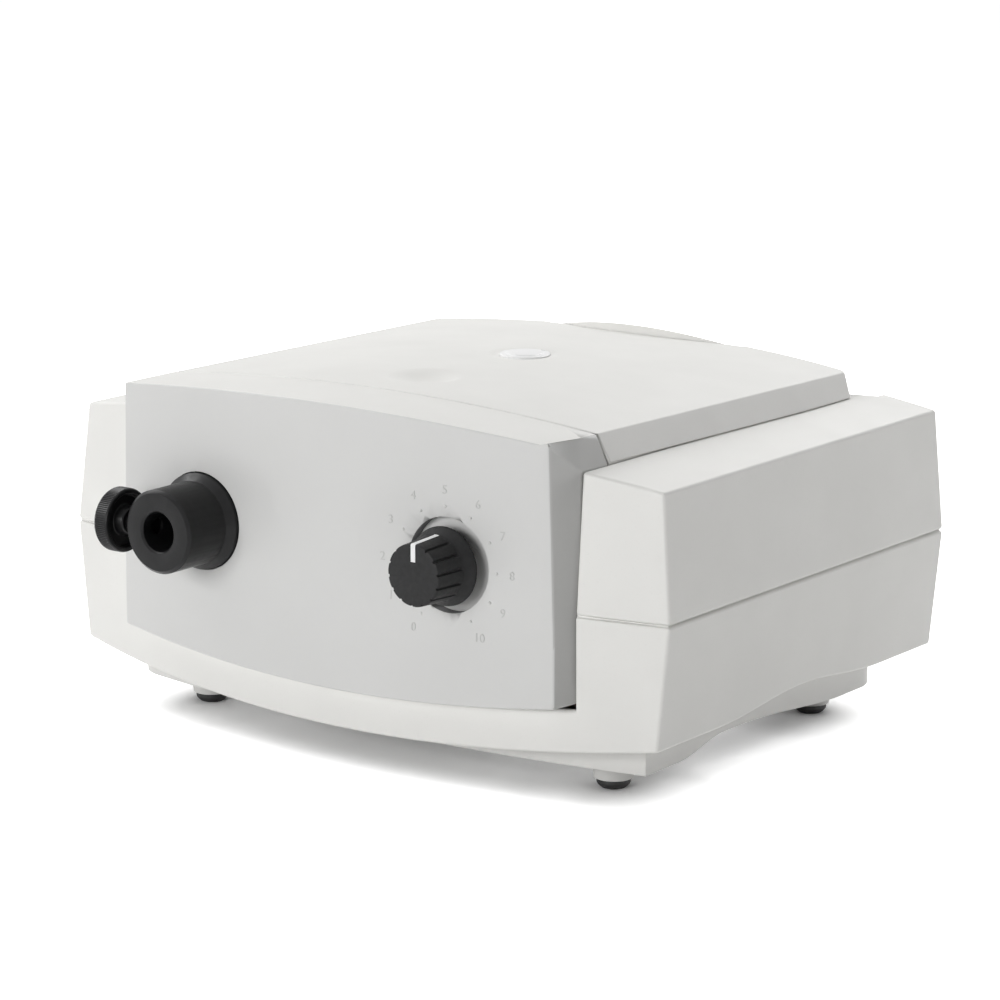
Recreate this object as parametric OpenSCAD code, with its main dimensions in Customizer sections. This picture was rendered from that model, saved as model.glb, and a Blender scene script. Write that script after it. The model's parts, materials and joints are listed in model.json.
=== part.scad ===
// Cold light source for fibre optic light guides: moulded desktop housing with a
// clamped guide port, a 0 to 10 intensity knob, a lift-off lamp cover and a rear exhaust hood.
// Design frame: X right, Y back from the front corners, Z up from the parting line.

/* [Housing] */
// Widest width of the housing, at the parting line
house_w = 280; // [270:1:300]
// Depth from the front corners to the rear face
house_d = 189.2; // [186:0.1:200]
// How far the front bows out in plan, middle against corners
front_bow = 16; // [12:0.5:20]
// Height of the shoulders above the parting line, at their outer edges
upper_h = 46.8; // [44:0.1:50]
// Rise of the shoulders' tops towards the middle
ear_crown = 11.2; // [9:0.1:12]
// Height of the lower shell's side, below the parting line
lower_h = 46.5; // [44:0.1:50]
// Drop of the lower shell's belly towards the middle
belly = 10.1; // [8:0.1:12]
// Inward lean of each side wall over the upper shell's height
side_lean = 4.6; // [3:0.1:6]
// Backward lean of the front wall over the upper shell's height
front_lean = 3.3; // [2:0.1:4]
// Wall of the moulded shells
wall = 3; // [2.5:0.1:3.5]
// Depth of the recess that holds the rear panel, behind the rear face
rear_inset = 4.7; // [4:0.1:6]
// Width of the groove along the parting line
part_gap = 0.7; // [0.5:0.1:1]
// Half the space between the two shoulders
ear_in = 104.6; // [103:0.1:106]
// Rise of the grip arches under the sides
grip_h = 4.2; // [3:0.1:5]
// Where the grip arches start, behind the front corners
grip_front = 40; // [36:1:44]
// Length of the grip arches
grip_len = 110; // [104:1:114]

/* [Bezel] */
// Half width of the bezel's face at its top
face_top = 99.1; // [97:0.1:100]
// Half width of the bezel's face at its bottom
face_bot = 101.3; // [100:0.1:102.5]
// Height of the face's top corners
face_z = 61.6; // [60:0.1:63]
// Rise of the face's top edge towards the middle
face_crown = 5.1; // [4:0.1:6]
// Depth of the face's bottom corners
face_low = 33; // [31:0.5:35]
// Drop of the face's bottom edge towards the middle
face_belly = 7.1; // [6:0.1:8]
// Distance of the face's side edges in front of the corners
face_out = 15.7; // [14:0.1:17]
// Bow of the face in plan
face_bow = 5.9; // [5:0.1:7]
// Where the bezel's top ends and the lamp cover starts
seam_y = 13.1; // [12:0.1:15]

/* [Lamp cover] */
// Height of the cover's side edges at its rear
cover_rear_z = 59.2; // [58:0.1:60]
// Half width of the cover's flat top at its rear
cover_rear_w = 100.8; // [99:0.1:102]
// Half width of the cover's foot line at its rear
cover_foot_w = 109; // [107.5:0.1:110]
// Crown of the cover at its middle
cover_crown_mid = 6.2; // [5.8:0.1:6.8]
// Crown of the cover at its rear
cover_crown_rear = 4; // [3.5:0.1:4.6]
// Distance of the cover's rear corners before the rear face
cover_back = 11.2; // [9:0.1:13]
// Length of the slant that cuts the cover's rear corners
cover_cut = 8.5; // [7:0.5:10]
// Bulge of the cover's rear edge in plan
cover_bulge = 13; // [10:0.5:14]
// Wall of the cover
cover_wall = 2.5; // [2:0.1:3]
// Clearance between the cover and what it lies on
cover_gap = 0.3; // [0.2:0.05:0.4]
// Radius of the thumb dimple
dimple_r = 15; // [12:0.5:18]
// Depth of the thumb dimple
dimple_d = 1.5; // [1:0.1:2]
// Distance of the thumb dimple behind the seam
dimple_y = 29; // [25:1:40]
// Radius of the round badge
badge_r = 10; // [8:0.5:12]
// Distance of the badge behind the seam
badge_y = 92; // [80:1:100]

/* [Light guide port] */
// Distance of the port from the middle
port_x = 59.2; // [56:0.1:62]
// Height of port and knob above the parting line
port_z = 14; // [12:0.1:16]
// Diameter of the bore for the light guide's ferrule
guide_d = 15; // [12:0.1:16]
// Outer radius of the port's barrel
barrel_r = 15.9; // [15:0.1:17]
// Radius of the port's flange
flange_r = 18.4; // [17.5:0.1:19]
// How far the port stands out of the face
port_out = 24.1; // [22:0.1:28]
// Radius of the clamping screw's knurled head
clamp_head_r = 12.2; // [10:0.1:13]
// Thickness of the clamping screw's head
clamp_head_t = 7; // [5:0.5:8]
// Distance of the clamping screw behind the port's front
clamp_back = 8.5; // [7:0.1:10]
// Distance from the port's axis to the middle of the screw's head
clamp_reach = 25.6; // [24:0.1:30]

/* [Intensity knob] */
// Distance of the knob from the middle
knob_x = 57.3; // [54:0.1:60]
// Radius of the knob's body at its front
knob_r = 11.4; // [10:0.1:12]
// Radius of the knob's skirt
skirt_r = 14.5; // [13.5:0.1:15.5]
// How far the skirt's rim stands out of the face
skirt_out = 2.4; // [1.5:0.1:3.5]
// How far the knob stands out of the face
knob_out = 19.6; // [18:0.1:24]
// Radius of the round well behind the knob
well_r = 17.6; // [16.8:0.1:18.5]
// Depth of the well
well_d = 5; // [4:0.5:6]
// Number of grip flutes
flutes = 14; // [10:1:18]
// Diameter of the potentiometer's shaft
shaft_d = 6; // [5:0.5:6.5]

/* [Plinth and feet] */
// Inset of the plinth behind the shell's front
plinth_in = 15; // [12:0.5:16]
// Inset of the plinth before the shell's rear
plinth_rear = 12; // [10:0.5:14]
// Radius of the plinth's rounded corners
plinth_round = 18; // [12:0.5:20]
// Half width of the plinth
plinth_half = 122.5; // [120:0.5:125]
// Height of the plinth's skirt below the lower shell's sides
skirt_h = 13.5; // [12.5:0.1:15]
// Rise of the plinth's side arches
plinth_arch = 4.8; // [3:0.1:6]
// Distance of the front feet from the plinth's sides
foot_side = 25.7; // [22:0.1:28]
// Distance of the front feet behind the front corners
foot_in = 28.6; // [27:0.1:33]
// Distance of the rear feet from the plinth's sides
rear_foot_side = 21.5; // [19:0.1:26]
// Distance of the rear feet before the rear face
rear_foot_in = 32.2; // [28:0.1:36]
// Height of the foot bosses below the plinth's lower edge
boss_h = 8.7; // [7:0.1:10]
// Height of a rubber foot
foot_h = 3.8; // [3:0.1:5]
// Radius of a rubber foot
foot_r = 6.3; // [6:0.05:7]

/* [Rear] */
// Width of the step beside the shoulders' inner edges, round the rear panel
window_side = 6.9; // [6:0.1:8]
// Lower edge of the rear opening below the parting line
sill = 34; // [33:0.5:36]
// Thickness of the rear panel
panel_t = 3; // [2:0.1:3]
// Half width of the exhaust hood
hood_half = 48; // [46:0.5:50]
// How far the hood stands behind the rear face
hood_out = 10.8; // [9:0.1:14]
// Height of the hood's arch above the parting line
hood_top = 67.2; // [66:0.1:68]
// Slope of the hood's top towards the rear, in degrees
hood_slope = 20; // [18:1:24]

/* [Inside] */
// Diameter of the lamp's reflector
lamp_d = 50.7; // [49:0.1:51]
// Side of the fan's square frame
fan_a = 80; // [78:1:80]
// Depth of the fan's frame
fan_t = 25; // [20:1:26]
// Number of fan blades
blades = 7; // [5:1:9]
// Diameter of the toroidal transformer
toroid_d = 90; // [80:1:92]
// Height of the toroidal transformer
toroid_h = 36; // [30:1:40]

/* [Hidden] */
$fn = 64;
big = 720; // facets of the widest arcs

// Colours of the mouldings and metals
shell_col = [0.89, 0.89, 0.87];
bezel_col = [0.82, 0.82, 0.80];
black_col = [0.09, 0.09, 0.10];
steel_col = [0.70, 0.71, 0.72];
board_col = [0.10, 0.35, 0.20];

// Derived places
half_w = house_w / 2;
cover_y = house_d - cover_back; // the cover's rear corners
window_half = ear_in + window_side; // half width of the rear opening
plinth_low = lower_h + skirt_h; // lower edge of the plinth below the parting line
boss_low = plinth_low + boss_h; // lower end of the foot bosses
foot_x = plinth_half - foot_side;
rear_foot_x = plinth_half - rear_foot_side;
panel_y = house_d - rear_inset; // outer face of the rear panel
panel_in = panel_y - panel_t; // its inner face
foot_z = boss_low + foot_h; // the table lies this far below the parting line
hood_y = house_d + hood_out;
bow_r = arc_r(half_w, front_bow);
face_r = arc_r(face_top, face_bow);
face_mid = face_out + face_bow; // face at the middle, in front of the corners
port_face = face_at(port_x) - port_out; // front of the port
knob_face = face_at(knob_x) - knob_out; // front of the knob
well_y = face_at(knob_x) + well_d; // floor of the knob's well
y_front = min(port_face, port_face + clamp_back - clamp_head_r); // foremost point
y_mid = (y_front + hood_y) / 2; // middle of the whole depth
fit = 0.05; // running clearance of a turning shaft
lap = 1; // overlap of joined volumes
deck_z = -(lower_h - 2.5); // top of the chassis plate
deck_t = 2;
deck_front = 8; // ends of the chassis plate
deck_rear = 150;
bracket_y = 0; // front face of the port's bracket
bracket_t = 3;
bracket_half = 32; // half width of the port's and the lamp's brackets
bracket_foot = 22; // length of the port bracket's foot
rim_y = 52; // rear face of the lamp bracket, where the rim seats
fan_z = 4.5; // height of the fan's middle
inlet_x = 80; // sideways place of inlet and switch
socket_z = -6;
drawer_z = -23.5;
switch_z = 27;
panel_top = fan_z + fan_a / 2 + 5; // upper edge of the rear panel
toroid_x = 62;
toroid_y = 88;

// Radius of an arc from half its chord and its rise
function arc_r(half, rise) = (half * half + rise * rise) / (2 * rise);
// Height of such an arc over its chord's ends at a distance from its middle
function arc_h(half, rise, x) = sqrt(pow(arc_r(half, rise), 2) - x * x) - arc_r(half, rise) + rise;
// Depth of the bezel's face at a distance from the middle
function face_at(x) = -face_out - arc_h(face_top, face_bow, x);
// Smooth step from 0 to 1
function ease(t) = t < 0 ? 0 : t > 1 ? 1 : t * t * (3 - 2 * t);
// Share of the cover's length at a depth, and its crown, side height and widths there
cover_len = cover_y + cover_bulge - seam_y;
function share(y) = (y - seam_y) / cover_len;
function crown_at(t) = face_crown * (1 - t) * (1 - 2 * t) + cover_crown_mid * 4 * t * (1 - t)
    + cover_crown_rear * t * (2 * t - 1);
function cover_z(t) = face_z + (cover_rear_z - face_z) * t;
function cover_w(t) = face_top - 0.4 + (cover_rear_w - face_top + 0.4) * t;
function cover_foot(t) = ear_in + 0.6 + (cover_foot_w - ear_in - 0.6) * t;
// Height of the shoulders' tops at a distance from the middle
function ear_top(x) = upper_h + arc_h(half_w - side_lean, ear_crown, x);
function cover_mid_z(y) = cover_z(share(y)) + crown_at(share(y));

// A flat outline in X and Z, swept from y0 to y1
module y_prism(y0, y1) {
    translate([0, y1, 0]) rotate([90, 0, 0]) linear_extrude(y1 - y0) children();
}

// A flat outline in Y and Z, swept from x0 to x1
module x_prism(x0, x1) {
    translate([x0, 0, 0]) rotate([90, 0, 90]) linear_extrude(x1 - x0) children();
}

// A round bar along Y, with ra at its front and rb at its rear
module y_bar(x, z, y0, y1, ra, rb = 0, facets = 64) {
    translate([x, y1, z]) rotate([90, 0, 0])
        cylinder(h = y1 - y0, r1 = rb > 0 ? rb : ra, r2 = ra, $fn = facets);
}

// A block from its two corners
module block(a, b) {
    translate(a) cube(b - a);
}

// Both sides of the part
module both_sides() {
    children();
    mirror([1, 0, 0]) children();
}

// A machine screw with its head at the origin, running along +Z into the work
module screw(d, len, head_r, head_h) {
    difference() {
        union() {
            translate([0, 0, -head_h]) cylinder(r = head_r, h = head_h, $fn = 32);
            cylinder(d = d, h = len, $fn = 32);
        }
        translate([0, 0, -head_h - 0.01]) cylinder(r = head_r * 0.45, h = head_h * 0.6, $fn = 6);
    }
}

// ---- Housing ----

// Outer form of the upper shell, or its inner form when inset by t
module upper_form(t = 0) {
    z_hi = upper_h + ear_crown + 5;
    lean = side_lean * z_hi / upper_h;
    crown_r = arc_r(half_w - side_lean, ear_crown);
    intersection() {
        y_prism(-front_bow - 5, house_d + 5)
            polygon([[-half_w + t, 0], [half_w - t, 0], [half_w - t - lean, z_hi],
                [-half_w + t + lean, z_hi]]);
        y_bar(0, upper_h + ear_crown - crown_r, -front_bow - 5, house_d + 5, crown_r - t,
            facets = big);
        translate([0, bow_r - front_bow, 0])
            cylinder(h = z_hi, r1 = bow_r - t, r2 = bow_r - t - front_lean * z_hi / upper_h,
                $fn = big);
        block([-half_w, -front_bow - 5, 0], [half_w, t > 0 ? panel_y : house_d, z_hi]);
    }
}

// The same for the lower shell
module lower_form(t = 0) {
    z_lo = lower_h + belly + 5;
    lean = side_lean * z_lo / lower_h;
    belly_r = arc_r(half_w - side_lean, belly);
    intersection() {
        y_prism(-front_bow - 5, house_d + 5)
            polygon([[-half_w + t, 0], [half_w - t, 0], [half_w - t - lean, -z_lo],
                [-half_w + t + lean, -z_lo]]);
        y_bar(0, belly_r - lower_h - belly, -front_bow - 5, house_d + 5, belly_r - t,
            facets = big);
        translate([0, bow_r - front_bow, -z_lo])
            cylinder(h = z_lo, r1 = bow_r - t - front_lean / 3, r2 = bow_r - t, $fn = big);
        block([-half_w, -front_bow - 5, -z_lo], [half_w, t > 0 ? panel_y : house_d, 0]);
    }
}

// The rim of a shell's wall that the parting groove takes away
module part_groove(upper) {
    groove = 0.9;
    z0 = upper ? -lap : -part_gap / 2;
    difference() {
        block([-half_w - 5, -front_bow - 5, z0], [half_w + 5, house_d + 5, z0 + lap + part_gap / 2]);
        translate([0, 0, -lap - part_gap]) linear_extrude(3 * lap + 2 * part_gap)
            intersection() {
                translate([0, bow_r - front_bow]) circle(r = bow_r - groove, $fn = big);
                translate([-half_w + groove, -front_bow - 5])
                    square([house_w - 2 * groove, front_bow + 5 + house_d - groove]);
            }
    }
}

// The opening in the rear wall, between the shoulders
module rear_window() {
    block([-window_half, panel_y, -sill], [window_half, house_d + 5, 100]);
    // The shoulders' tops run out on a slant beside the cover's rear corners
    translate([0, 0, upper_h]) linear_extrude(20) both_sides()
        polygon([[ear_in - 2, cover_y], [ear_in, cover_y], [window_half, panel_y],
            [window_half, house_d], [ear_in - 2, house_d]]);
}

// Outline of a side's grip arch, in Y and Z
module grip_arch() {
    y0 = grip_front;
    y1 = grip_front + grip_len;
    steps = 24;
    polygon(concat(
        [[y0 - 4, -lower_h - belly], [y0 - 4, -lower_h - 2]],
        [for (i = [0 : steps]) [y0 + (y1 - y0) * i / steps,
            -lower_h + grip_h * (1 - cos(360 * i / steps)) / 2]],
        [[y1 + 4, -lower_h - 2], [y1 + 4, -lower_h - belly]]));
}

// Where the screws that join the shells stand
module at_shell_posts() {
    for (x = [-1, 1], y = [38, house_d - 36]) translate([x * (ear_in + 7.4), y, 0]) children();
}

// Where the chassis plate is screwed down
module at_deck_posts() {
    for (x = [-1, 1], y = [18, 140]) translate([x * (ear_in - 4.6), y, 0]) children();
}

post_r = 4.5;

module lower_shell() {
    cavity_half = plinth_half - 4;
    shallow = lower_h - grip_h - wall;
    ledge_r = arc_r(ear_in, face_belly - 0.9);
    ledge_mid = face_low + face_belly + 0.5; // the ledge under the bezel, at the middle
    color(shell_col) difference() {
        union() {
            difference() {
                lower_form();
                intersection() {
                    lower_form(wall);
                    union() {
                        block([-cavity_half, -50, -100], [cavity_half, 250, 1]);
                        block([-half_w, -50, -shallow], [half_w, 250, 1]);
                    }
                }
            }
            intersection() {
                lower_form(wall / 2);
                union() {
                    at_shell_posts() translate([0, 0, -100]) cylinder(r = post_r, h = 100);
                    at_deck_posts() translate([0, 0, -100])
                        cylinder(r = 4, h = 100 + deck_z - deck_t);
                }
            }
        }
        part_groove(false);
        rear_window();
        y_prism(-50, 12) intersection() {
            translate([-ear_in, -face_low - 20]) square([2 * ear_in, face_low + 21]);
            translate([0, ledge_r - ledge_mid]) circle(r = ledge_r, $fn = big);
        }
        both_sides() x_prism(plinth_half, half_w + 5) grip_arch();
        at_shell_posts() {
            translate([0, 0, -100]) cylinder(d = 3.4, h = 101, $fn = 32);
            translate([0, 0, -100]) cylinder(r = 3.2, h = 100 - shallow + 6, $fn = 32);
        }
        at_deck_posts() translate([0, 0, deck_z - deck_t - 5]) cylinder(d = 2.5, h = 20, $fn = 32);
    }
}

// Outline of the plinth's side arch, steep at the front and long at the rear
module plinth_side_arch() {
    y0 = plinth_in + 18;
    y1 = house_d - plinth_rear - 30;
    steps = 36;
    polygon(concat([[y0, -plinth_low - 5]],
        [for (i = [0 : steps]) let (y = y0 + (y1 - y0) * i / steps)
            [y, -plinth_low - 0.01 + plinth_arch * ease((y - y0) / 30)
                * (1 - ease((y - y0 - 42) / (y1 - y0 - 42)))]],
        [[y1, -plinth_low - 5]]));
}

// Outer form of the plinth in plan, inset by t: all corners are rounded but the front right one
module plinth_plan(t) {
    front_r = bow_r - plinth_in;
    cx = plinth_half - plinth_round;
    front_cy = bow_r - front_bow - sqrt(pow(front_r - plinth_round, 2) - cx * cx);
    rear_cy = house_d - plinth_rear - plinth_round;
    left = cx * (front_r - t) / (front_r - plinth_round); // where the round meets the bowed front
    intersection() {
        translate([0, bow_r - front_bow]) circle(r = front_r - t, $fn = big);
        union() {
            translate([t - plinth_half, front_cy]) square([2 * (plinth_half - t), rear_cy - front_cy]);
            translate([-left, -50]) square([left + plinth_half - t, 50 + front_cy + 1]);
            translate([-cx, rear_cy - 1]) square([2 * cx, plinth_round - t + 1]);
            for (c = [[-cx, front_cy], [-cx, rear_cy], [cx, rear_cy]])
                translate(c) circle(r = plinth_round - t, $fn = 180);
        }
    }
}

module at_feet() {
    for (side = [-1, 1]) {
        translate([side * foot_x, foot_in, 0]) children();
        translate([side * rear_foot_x, house_d - rear_foot_in, 0]) children();
    }
}

module base_plinth() {
    stem_r = 2.8;
    rib = 2.5;
    color(shell_col) difference() {
        union() {
            translate([0, 0, -plinth_low]) linear_extrude(plinth_low - lower_h + 4)
                difference() {
                    plinth_plan(0);
                    plinth_plan(wall);
                }
            at_feet() {
                translate([0, 0, -boss_low])
                    cylinder(r1 = 7.3, r2 = 8.6, h = boss_low - plinth_low);
                translate([0, 0, -plinth_low]) cylinder(r = 8.6, h = 14);
            }
            // Ribs that tie the foot bosses to the skirt
            intersection() {
                translate([0, 0, -plinth_low + 1]) linear_extrude(13) plinth_plan(wall / 2);
                for (y = [foot_in, house_d - rear_foot_in])
                    block([-plinth_half, y - rib / 2, -80], [plinth_half, y + rib / 2, 0]);
            }
        }
        lower_form();
        both_sides() x_prism(plinth_half - wall - 1, plinth_half + 1) plinth_side_arch();
        at_feet() translate([0, 0, -boss_low - 1]) cylinder(r = stem_r, h = 8, $fn = 32);
    }
}

// A rubber foot with a domed rim, a flat tread and a stem pushed into its boss
module rubber_foot() {
    stem_r = 2.8;
    color(black_col) translate([0, 0, -foot_z]) union() {
        intersection() {
            cylinder(r = foot_r, h = foot_h);
            translate([0, 0, foot_r]) sphere(r = foot_r * 1.22, $fn = 64);
        }
        cylinder(r = stem_r, h = foot_h + 6.5, $fn = 32);
    }
}

module foot(side, end) {
    translate(end ? [side * rear_foot_x, house_d - rear_foot_in, 0] : [side * foot_x, foot_in, 0])
        rubber_foot();
}

module upper_shell() {
    inner_wall = 2.5;
    ledge = 3;
    bar_z0 = face_z - 21;
    color(shell_col) difference() {
        union() {
            // The two shoulders, each closed by an inner wall
            difference() {
                upper_form();
                difference() {
                    upper_form(wall);
                    both_sides() block([ear_in - lap, -50, -lap],
                        [ear_in + inner_wall, panel_in - cover_gap, 100]);
                }
                block([-ear_in, -50, -lap], [ear_in, 250, 100]);
            }
            // Front bulkhead under the bezel's top, with a ledge for the cover's front edge
            intersection() {
                bezel_form(wall);
                union() {
                    block([-ear_in - 1.5, 3, bar_z0], [ear_in + 1.5, 7, 80]);
                    difference() {
                        block([12 - face_top, 3, bar_z0], [face_top - 12, seam_y + 7, 80]);
                        bezel_form(wall + ledge);
                    }
                }
            }
            // Side and rear members that tie the shoulders together
            both_sides() block([ear_in - lap - 3, 3, bar_z0], [ear_in + lap, 7, face_z - 12]);
            block([-ear_in - 1.5, panel_in - 6, panel_top - 4.5],
                [ear_in + 1.5, panel_in - cover_gap, panel_top - 0.6]);
            intersection() {
                upper_form(wall / 2);
                union() {
                    at_shell_posts() cylinder(r = post_r, h = 100);
                    at_panel_screws() y_bar(0, 0, panel_in - 14, panel_in - cover_gap, 3.2);
                }
            }
        }
        part_groove(true);
        rear_window();
        at_shell_posts() translate([0, 0, -1]) cylinder(d = 3, h = 25, $fn = 32);
        at_panel_screws() y_bar(0, 0, panel_in - 10, panel_in, 1.25, facets = 24);
    }
}

// ---- Bezel ----

// Outline of the bezel seen from the front, inset by t
module face_outline(t) {
    crown_r = arc_r(face_top, face_crown);
    low_r = arc_r(face_bot, face_belly);
    intersection() {
        translate([-ear_in - 5, -face_low - 30]) square([2 * ear_in + 10, face_low + face_z + 60]);
        translate([0, face_z + face_crown - crown_r]) circle(r = crown_r - t, $fn = big);
        translate([0, low_r - face_low - face_belly]) circle(r = low_r - t, $fn = big);
    }
}

// One cross-section of the bezel's sides: flared wall, shoulder, then the slope to the top
module side_slice(y, w_low, w_shoulder, z_shoulder, t) {
    run = 0.6; // sideways run of the slope for each unit of height
    z_hi = face_z + 20;
    w_hi = w_shoulder - run * (z_hi - z_shoulder);
    translate([0, y, 0]) rotate([90, 0, 0]) linear_extrude(0.01)
        polygon([[-w_low + t, -face_low - 25], [w_low - t, -face_low - 25],
            [w_shoulder - t, z_shoulder], [w_hi - t, z_hi], [-w_hi + t, z_hi],
            [-w_shoulder + t, z_shoulder]]);
}

// Form of the bezel: its face, its flared sides and the top strip as far as the seam
module bezel_form(t = 0) {
    side_w = ear_in - 0.3;
    back_y = -4; // where the flare ends, just behind the shoulders' front
    reach = 8; // the flare runs on this far in front of the face's edges
    flare = (side_w - face_top) / (face_out + back_y);
    low_flare = (side_w - face_bot) / (face_out + back_y);
    shoulder = 51.5; // height of the shoulders' inner edges
    rise = (face_z - shoulder) / (face_out + back_y);
    intersection() {
        y_prism(-50, seam_y + 40) face_outline(t);
        translate([0, face_r - face_mid, -100]) cylinder(r = face_r - t, h = 200, $fn = big);
        hull() {
            side_slice(-face_out - reach, face_bot - low_flare * reach,
                face_top - flare * reach, face_z + rise * reach, t);
            side_slice(back_y, side_w, side_w, shoulder, t);
            side_slice(seam_y + 30, side_w, side_w, shoulder, t);
        }
    }
}

module at_board_posts() {
    for (x = [knob_x - 23, knob_x + 23], z = [port_z - 27, port_z + 27])
        translate([x, 0, z]) children();
}

board_y = well_y + 3 + 9; // front of the control board

module front_bezel() {
    dish_r = 25;
    dish = 1;
    dish_ball = arc_r(dish_r, dish);
    color(bezel_col) difference() {
        union() {
            difference() {
                bezel_form();
                bezel_form(wall);
                block([-150, seam_y, -100], [150, 100, 100]); // the top strip ends at the seam
                block([-150, -2, -100], [150, 100, face_z - 12]); // the sides end sooner
            }
            // Boss behind the knob's well
            intersection() {
                bezel_form();
                y_bar(knob_x, port_z, -50, well_y + wall, well_r + wall);
            }
            // Posts for the control board
            intersection() {
                bezel_form();
                at_board_posts() y_bar(0, 0, -50, board_y, 3);
            }
        }
        // Shallow dishes around the port and the knob
        for (x = [-port_x, knob_x]) translate([x, face_at(x) + dish - dish_ball, port_z])
            rotate([0, 0, -asin(x / face_r)]) sphere(r = dish_ball, $fn = 360);
        y_bar(-port_x, port_z, -50, 0, flange_r + 0.4);
        y_bar(knob_x, port_z, -50, well_y, well_r);
        y_bar(knob_x, port_z, -50, 0, 4.6, facets = 32);
        at_board_posts() y_bar(0, 0, board_y - 6, board_y + 1, 1.2, facets = 24);
    }
}

// ---- Lamp cover ----

// One cross-section of the cover, inset by d
module cover_slice(y, d) {
    t = share(y);
    w = cover_w(t) - d;
    foot = cover_foot(t);
    below = 4; // the slope runs on this far below the shoulders' tops
    run = (foot - cover_w(t)) / (cover_z(t) - ear_top(foot));
    low_w = foot + run * below - d;
    steps = 24;
    translate([0, y, 0]) rotate([90, 0, 0]) linear_extrude(0.01)
        polygon(concat(
            [for (i = [0 : steps]) let (x = w * (1 - 2 * i / steps))
                [x, cover_z(t) - d + crown_at(t) * (1 - x * x / w / w)]],
            [[-low_w, ear_top(foot) - below], [low_w, ear_top(foot) - below]]));
}

module cover_form(d = 0) {
    rear_r = arc_r(cover_foot_w, cover_bulge);
    intersection() {
        hull() for (t = [0 : 0.2 : 1]) cover_slice(seam_y + cover_len * t, d);
        translate([0, cover_y + cover_bulge - rear_r, 0])
            cylinder(r = rear_r - d, h = 100, $fn = big);
        corner_cut(d);
    }
}

// Plan of the cover with its rear corners cut on a slant, inset by d
module corner_cut(d) {
    slant = atan2(-cover_cut, cover_foot_w - cover_rear_w);
    linear_extrude(100) difference() {
        translate([-half_w, -50]) square([2 * half_w, 350]);
        both_sides() translate([cover_rear_w, cover_y]) rotate(slant)
            translate([-30, -d]) square([90, 60]);
    }
}

// Rear arc of the hood in plan, grown by g
hood_side_y = cover_y + 10; // where the hood's front and rear arcs meet

module hood_rear_arc(g) {
    rear_r = arc_r(hood_half, hood_y - hood_side_y);
    translate([0, hood_y - rear_r]) circle(r = rear_r + g, $fn = big);
}

// The crescent that stands in the cover's notch, grown by g
module hood_crescent(g = 0) {
    front_rise = 9;
    front_r = arc_r(hood_half, front_rise);
    intersection() {
        translate([0, hood_side_y - front_rise + front_r]) circle(r = front_r + g, $fn = big);
        hood_rear_arc(g);
    }
}

// The hood's outline below the cover, from the panel to the rear arc
module hood_box(g = 0) {
    intersection() {
        translate([-hood_half - g, panel_y]) square([2 * (hood_half + g), 40]);
        hood_rear_arc(g);
    }
}

module top_cover() {
    skin = cover_wall;
    lip_z = face_z - 15;
    dimple_ball = arc_r(dimple_r, dimple_d);
    dimple_at = seam_y + dimple_y;
    badge_at = seam_y + badge_y;
    dish_r = 15.5;
    dish = 0.9;
    dish_ball = arc_r(dish_r, dish);
    pad = 5;
    color(shell_col) difference() {
        union() {
            difference() {
                cover_form();
                cover_form(skin);
                // The sides stop on the shoulders
                both_sides() intersection() {
                    translate([0, 0, cover_gap]) upper_form();
                    block([ear_in - 0.3, -50, 0], [half_w, 250, 100]);
                }
                block([-150, -50, 0], [150, seam_y + cover_gap, 100]);
                block([-150, -50, 0], [150, 250, panel_top + cover_gap]);
            }
            // Lips that drop between the shoulders
            intersection() {
                cover_form();
                both_sides() block([ear_in - cover_gap - 3, seam_y + 12, lip_z],
                    [ear_in - cover_gap, cover_y - 12, face_z]);
            }
            both_sides() block([ear_in - cover_gap - 3, seam_y + 12, lip_z],
                [ear_in - cover_gap, cover_y - 12, ear_top(ear_in) - 1]);
            // Pads under the badge and the dimple
            translate([0, badge_at, cover_mid_z(badge_at) - pad])
                cylinder(r = badge_r + 3, h = pad - 1.5);
            translate([0, dimple_at, cover_mid_z(dimple_at) - pad])
                cylinder(r = dimple_r + 1, h = pad - 1.5);
        }
        linear_extrude(100) hood_crescent(0.4);
        translate([0, dimple_at, cover_mid_z(dimple_at) - dimple_d + dimple_ball])
            sphere(r = dimple_ball, $fn = 180);
        translate([0, badge_at, cover_mid_z(badge_at) - dish + dish_ball])
            sphere(r = dish_ball, $fn = 180);
        translate([0, badge_at, cover_mid_z(badge_at) - 2.6]) cylinder(r = badge_r, h = 10);
    }
}

module cover_badge() {
    at = seam_y + badge_y;
    color([0.95, 0.95, 0.95]) translate([0, at, cover_mid_z(at) - 2.6]) union() {
        cylinder(r = badge_r, h = 2.1);
        translate([0, 0, 2.1]) cylinder(r1 = badge_r, r2 = badge_r - 0.7, h = 0.5);
        translate([0, 0, 2.6]) cylinder(r1 = badge_r * 0.76, r2 = badge_r * 0.72, h = 0.3);
    }
}

// ---- Rear ----

module at_inlet_screws() {
    for (x = [-20, 20]) translate([inlet_x + x, 0, socket_z]) children();
}

module at_panel_screws() {
    for (x = [-1, 1], z = [12.5, upper_h - 9]) translate([x * (ear_in + 1.2), 0, z]) children();
}

module at_fan_screws() {
    for (x = [-1, 1], z = [-1, 1])
        translate([x * (fan_a / 2 - 4.25), 0, fan_z + z * (fan_a / 2 - 4.25)]) children();
}

module at_hood_screws() {
    for (x = [-1, 1]) translate([x * (hood_half - 4), 0, fan_z]) children();
}

inlet_half = 13.6;
inlet_top = socket_z + 11.5;
inlet_low = drawer_z - 6.5;

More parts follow.
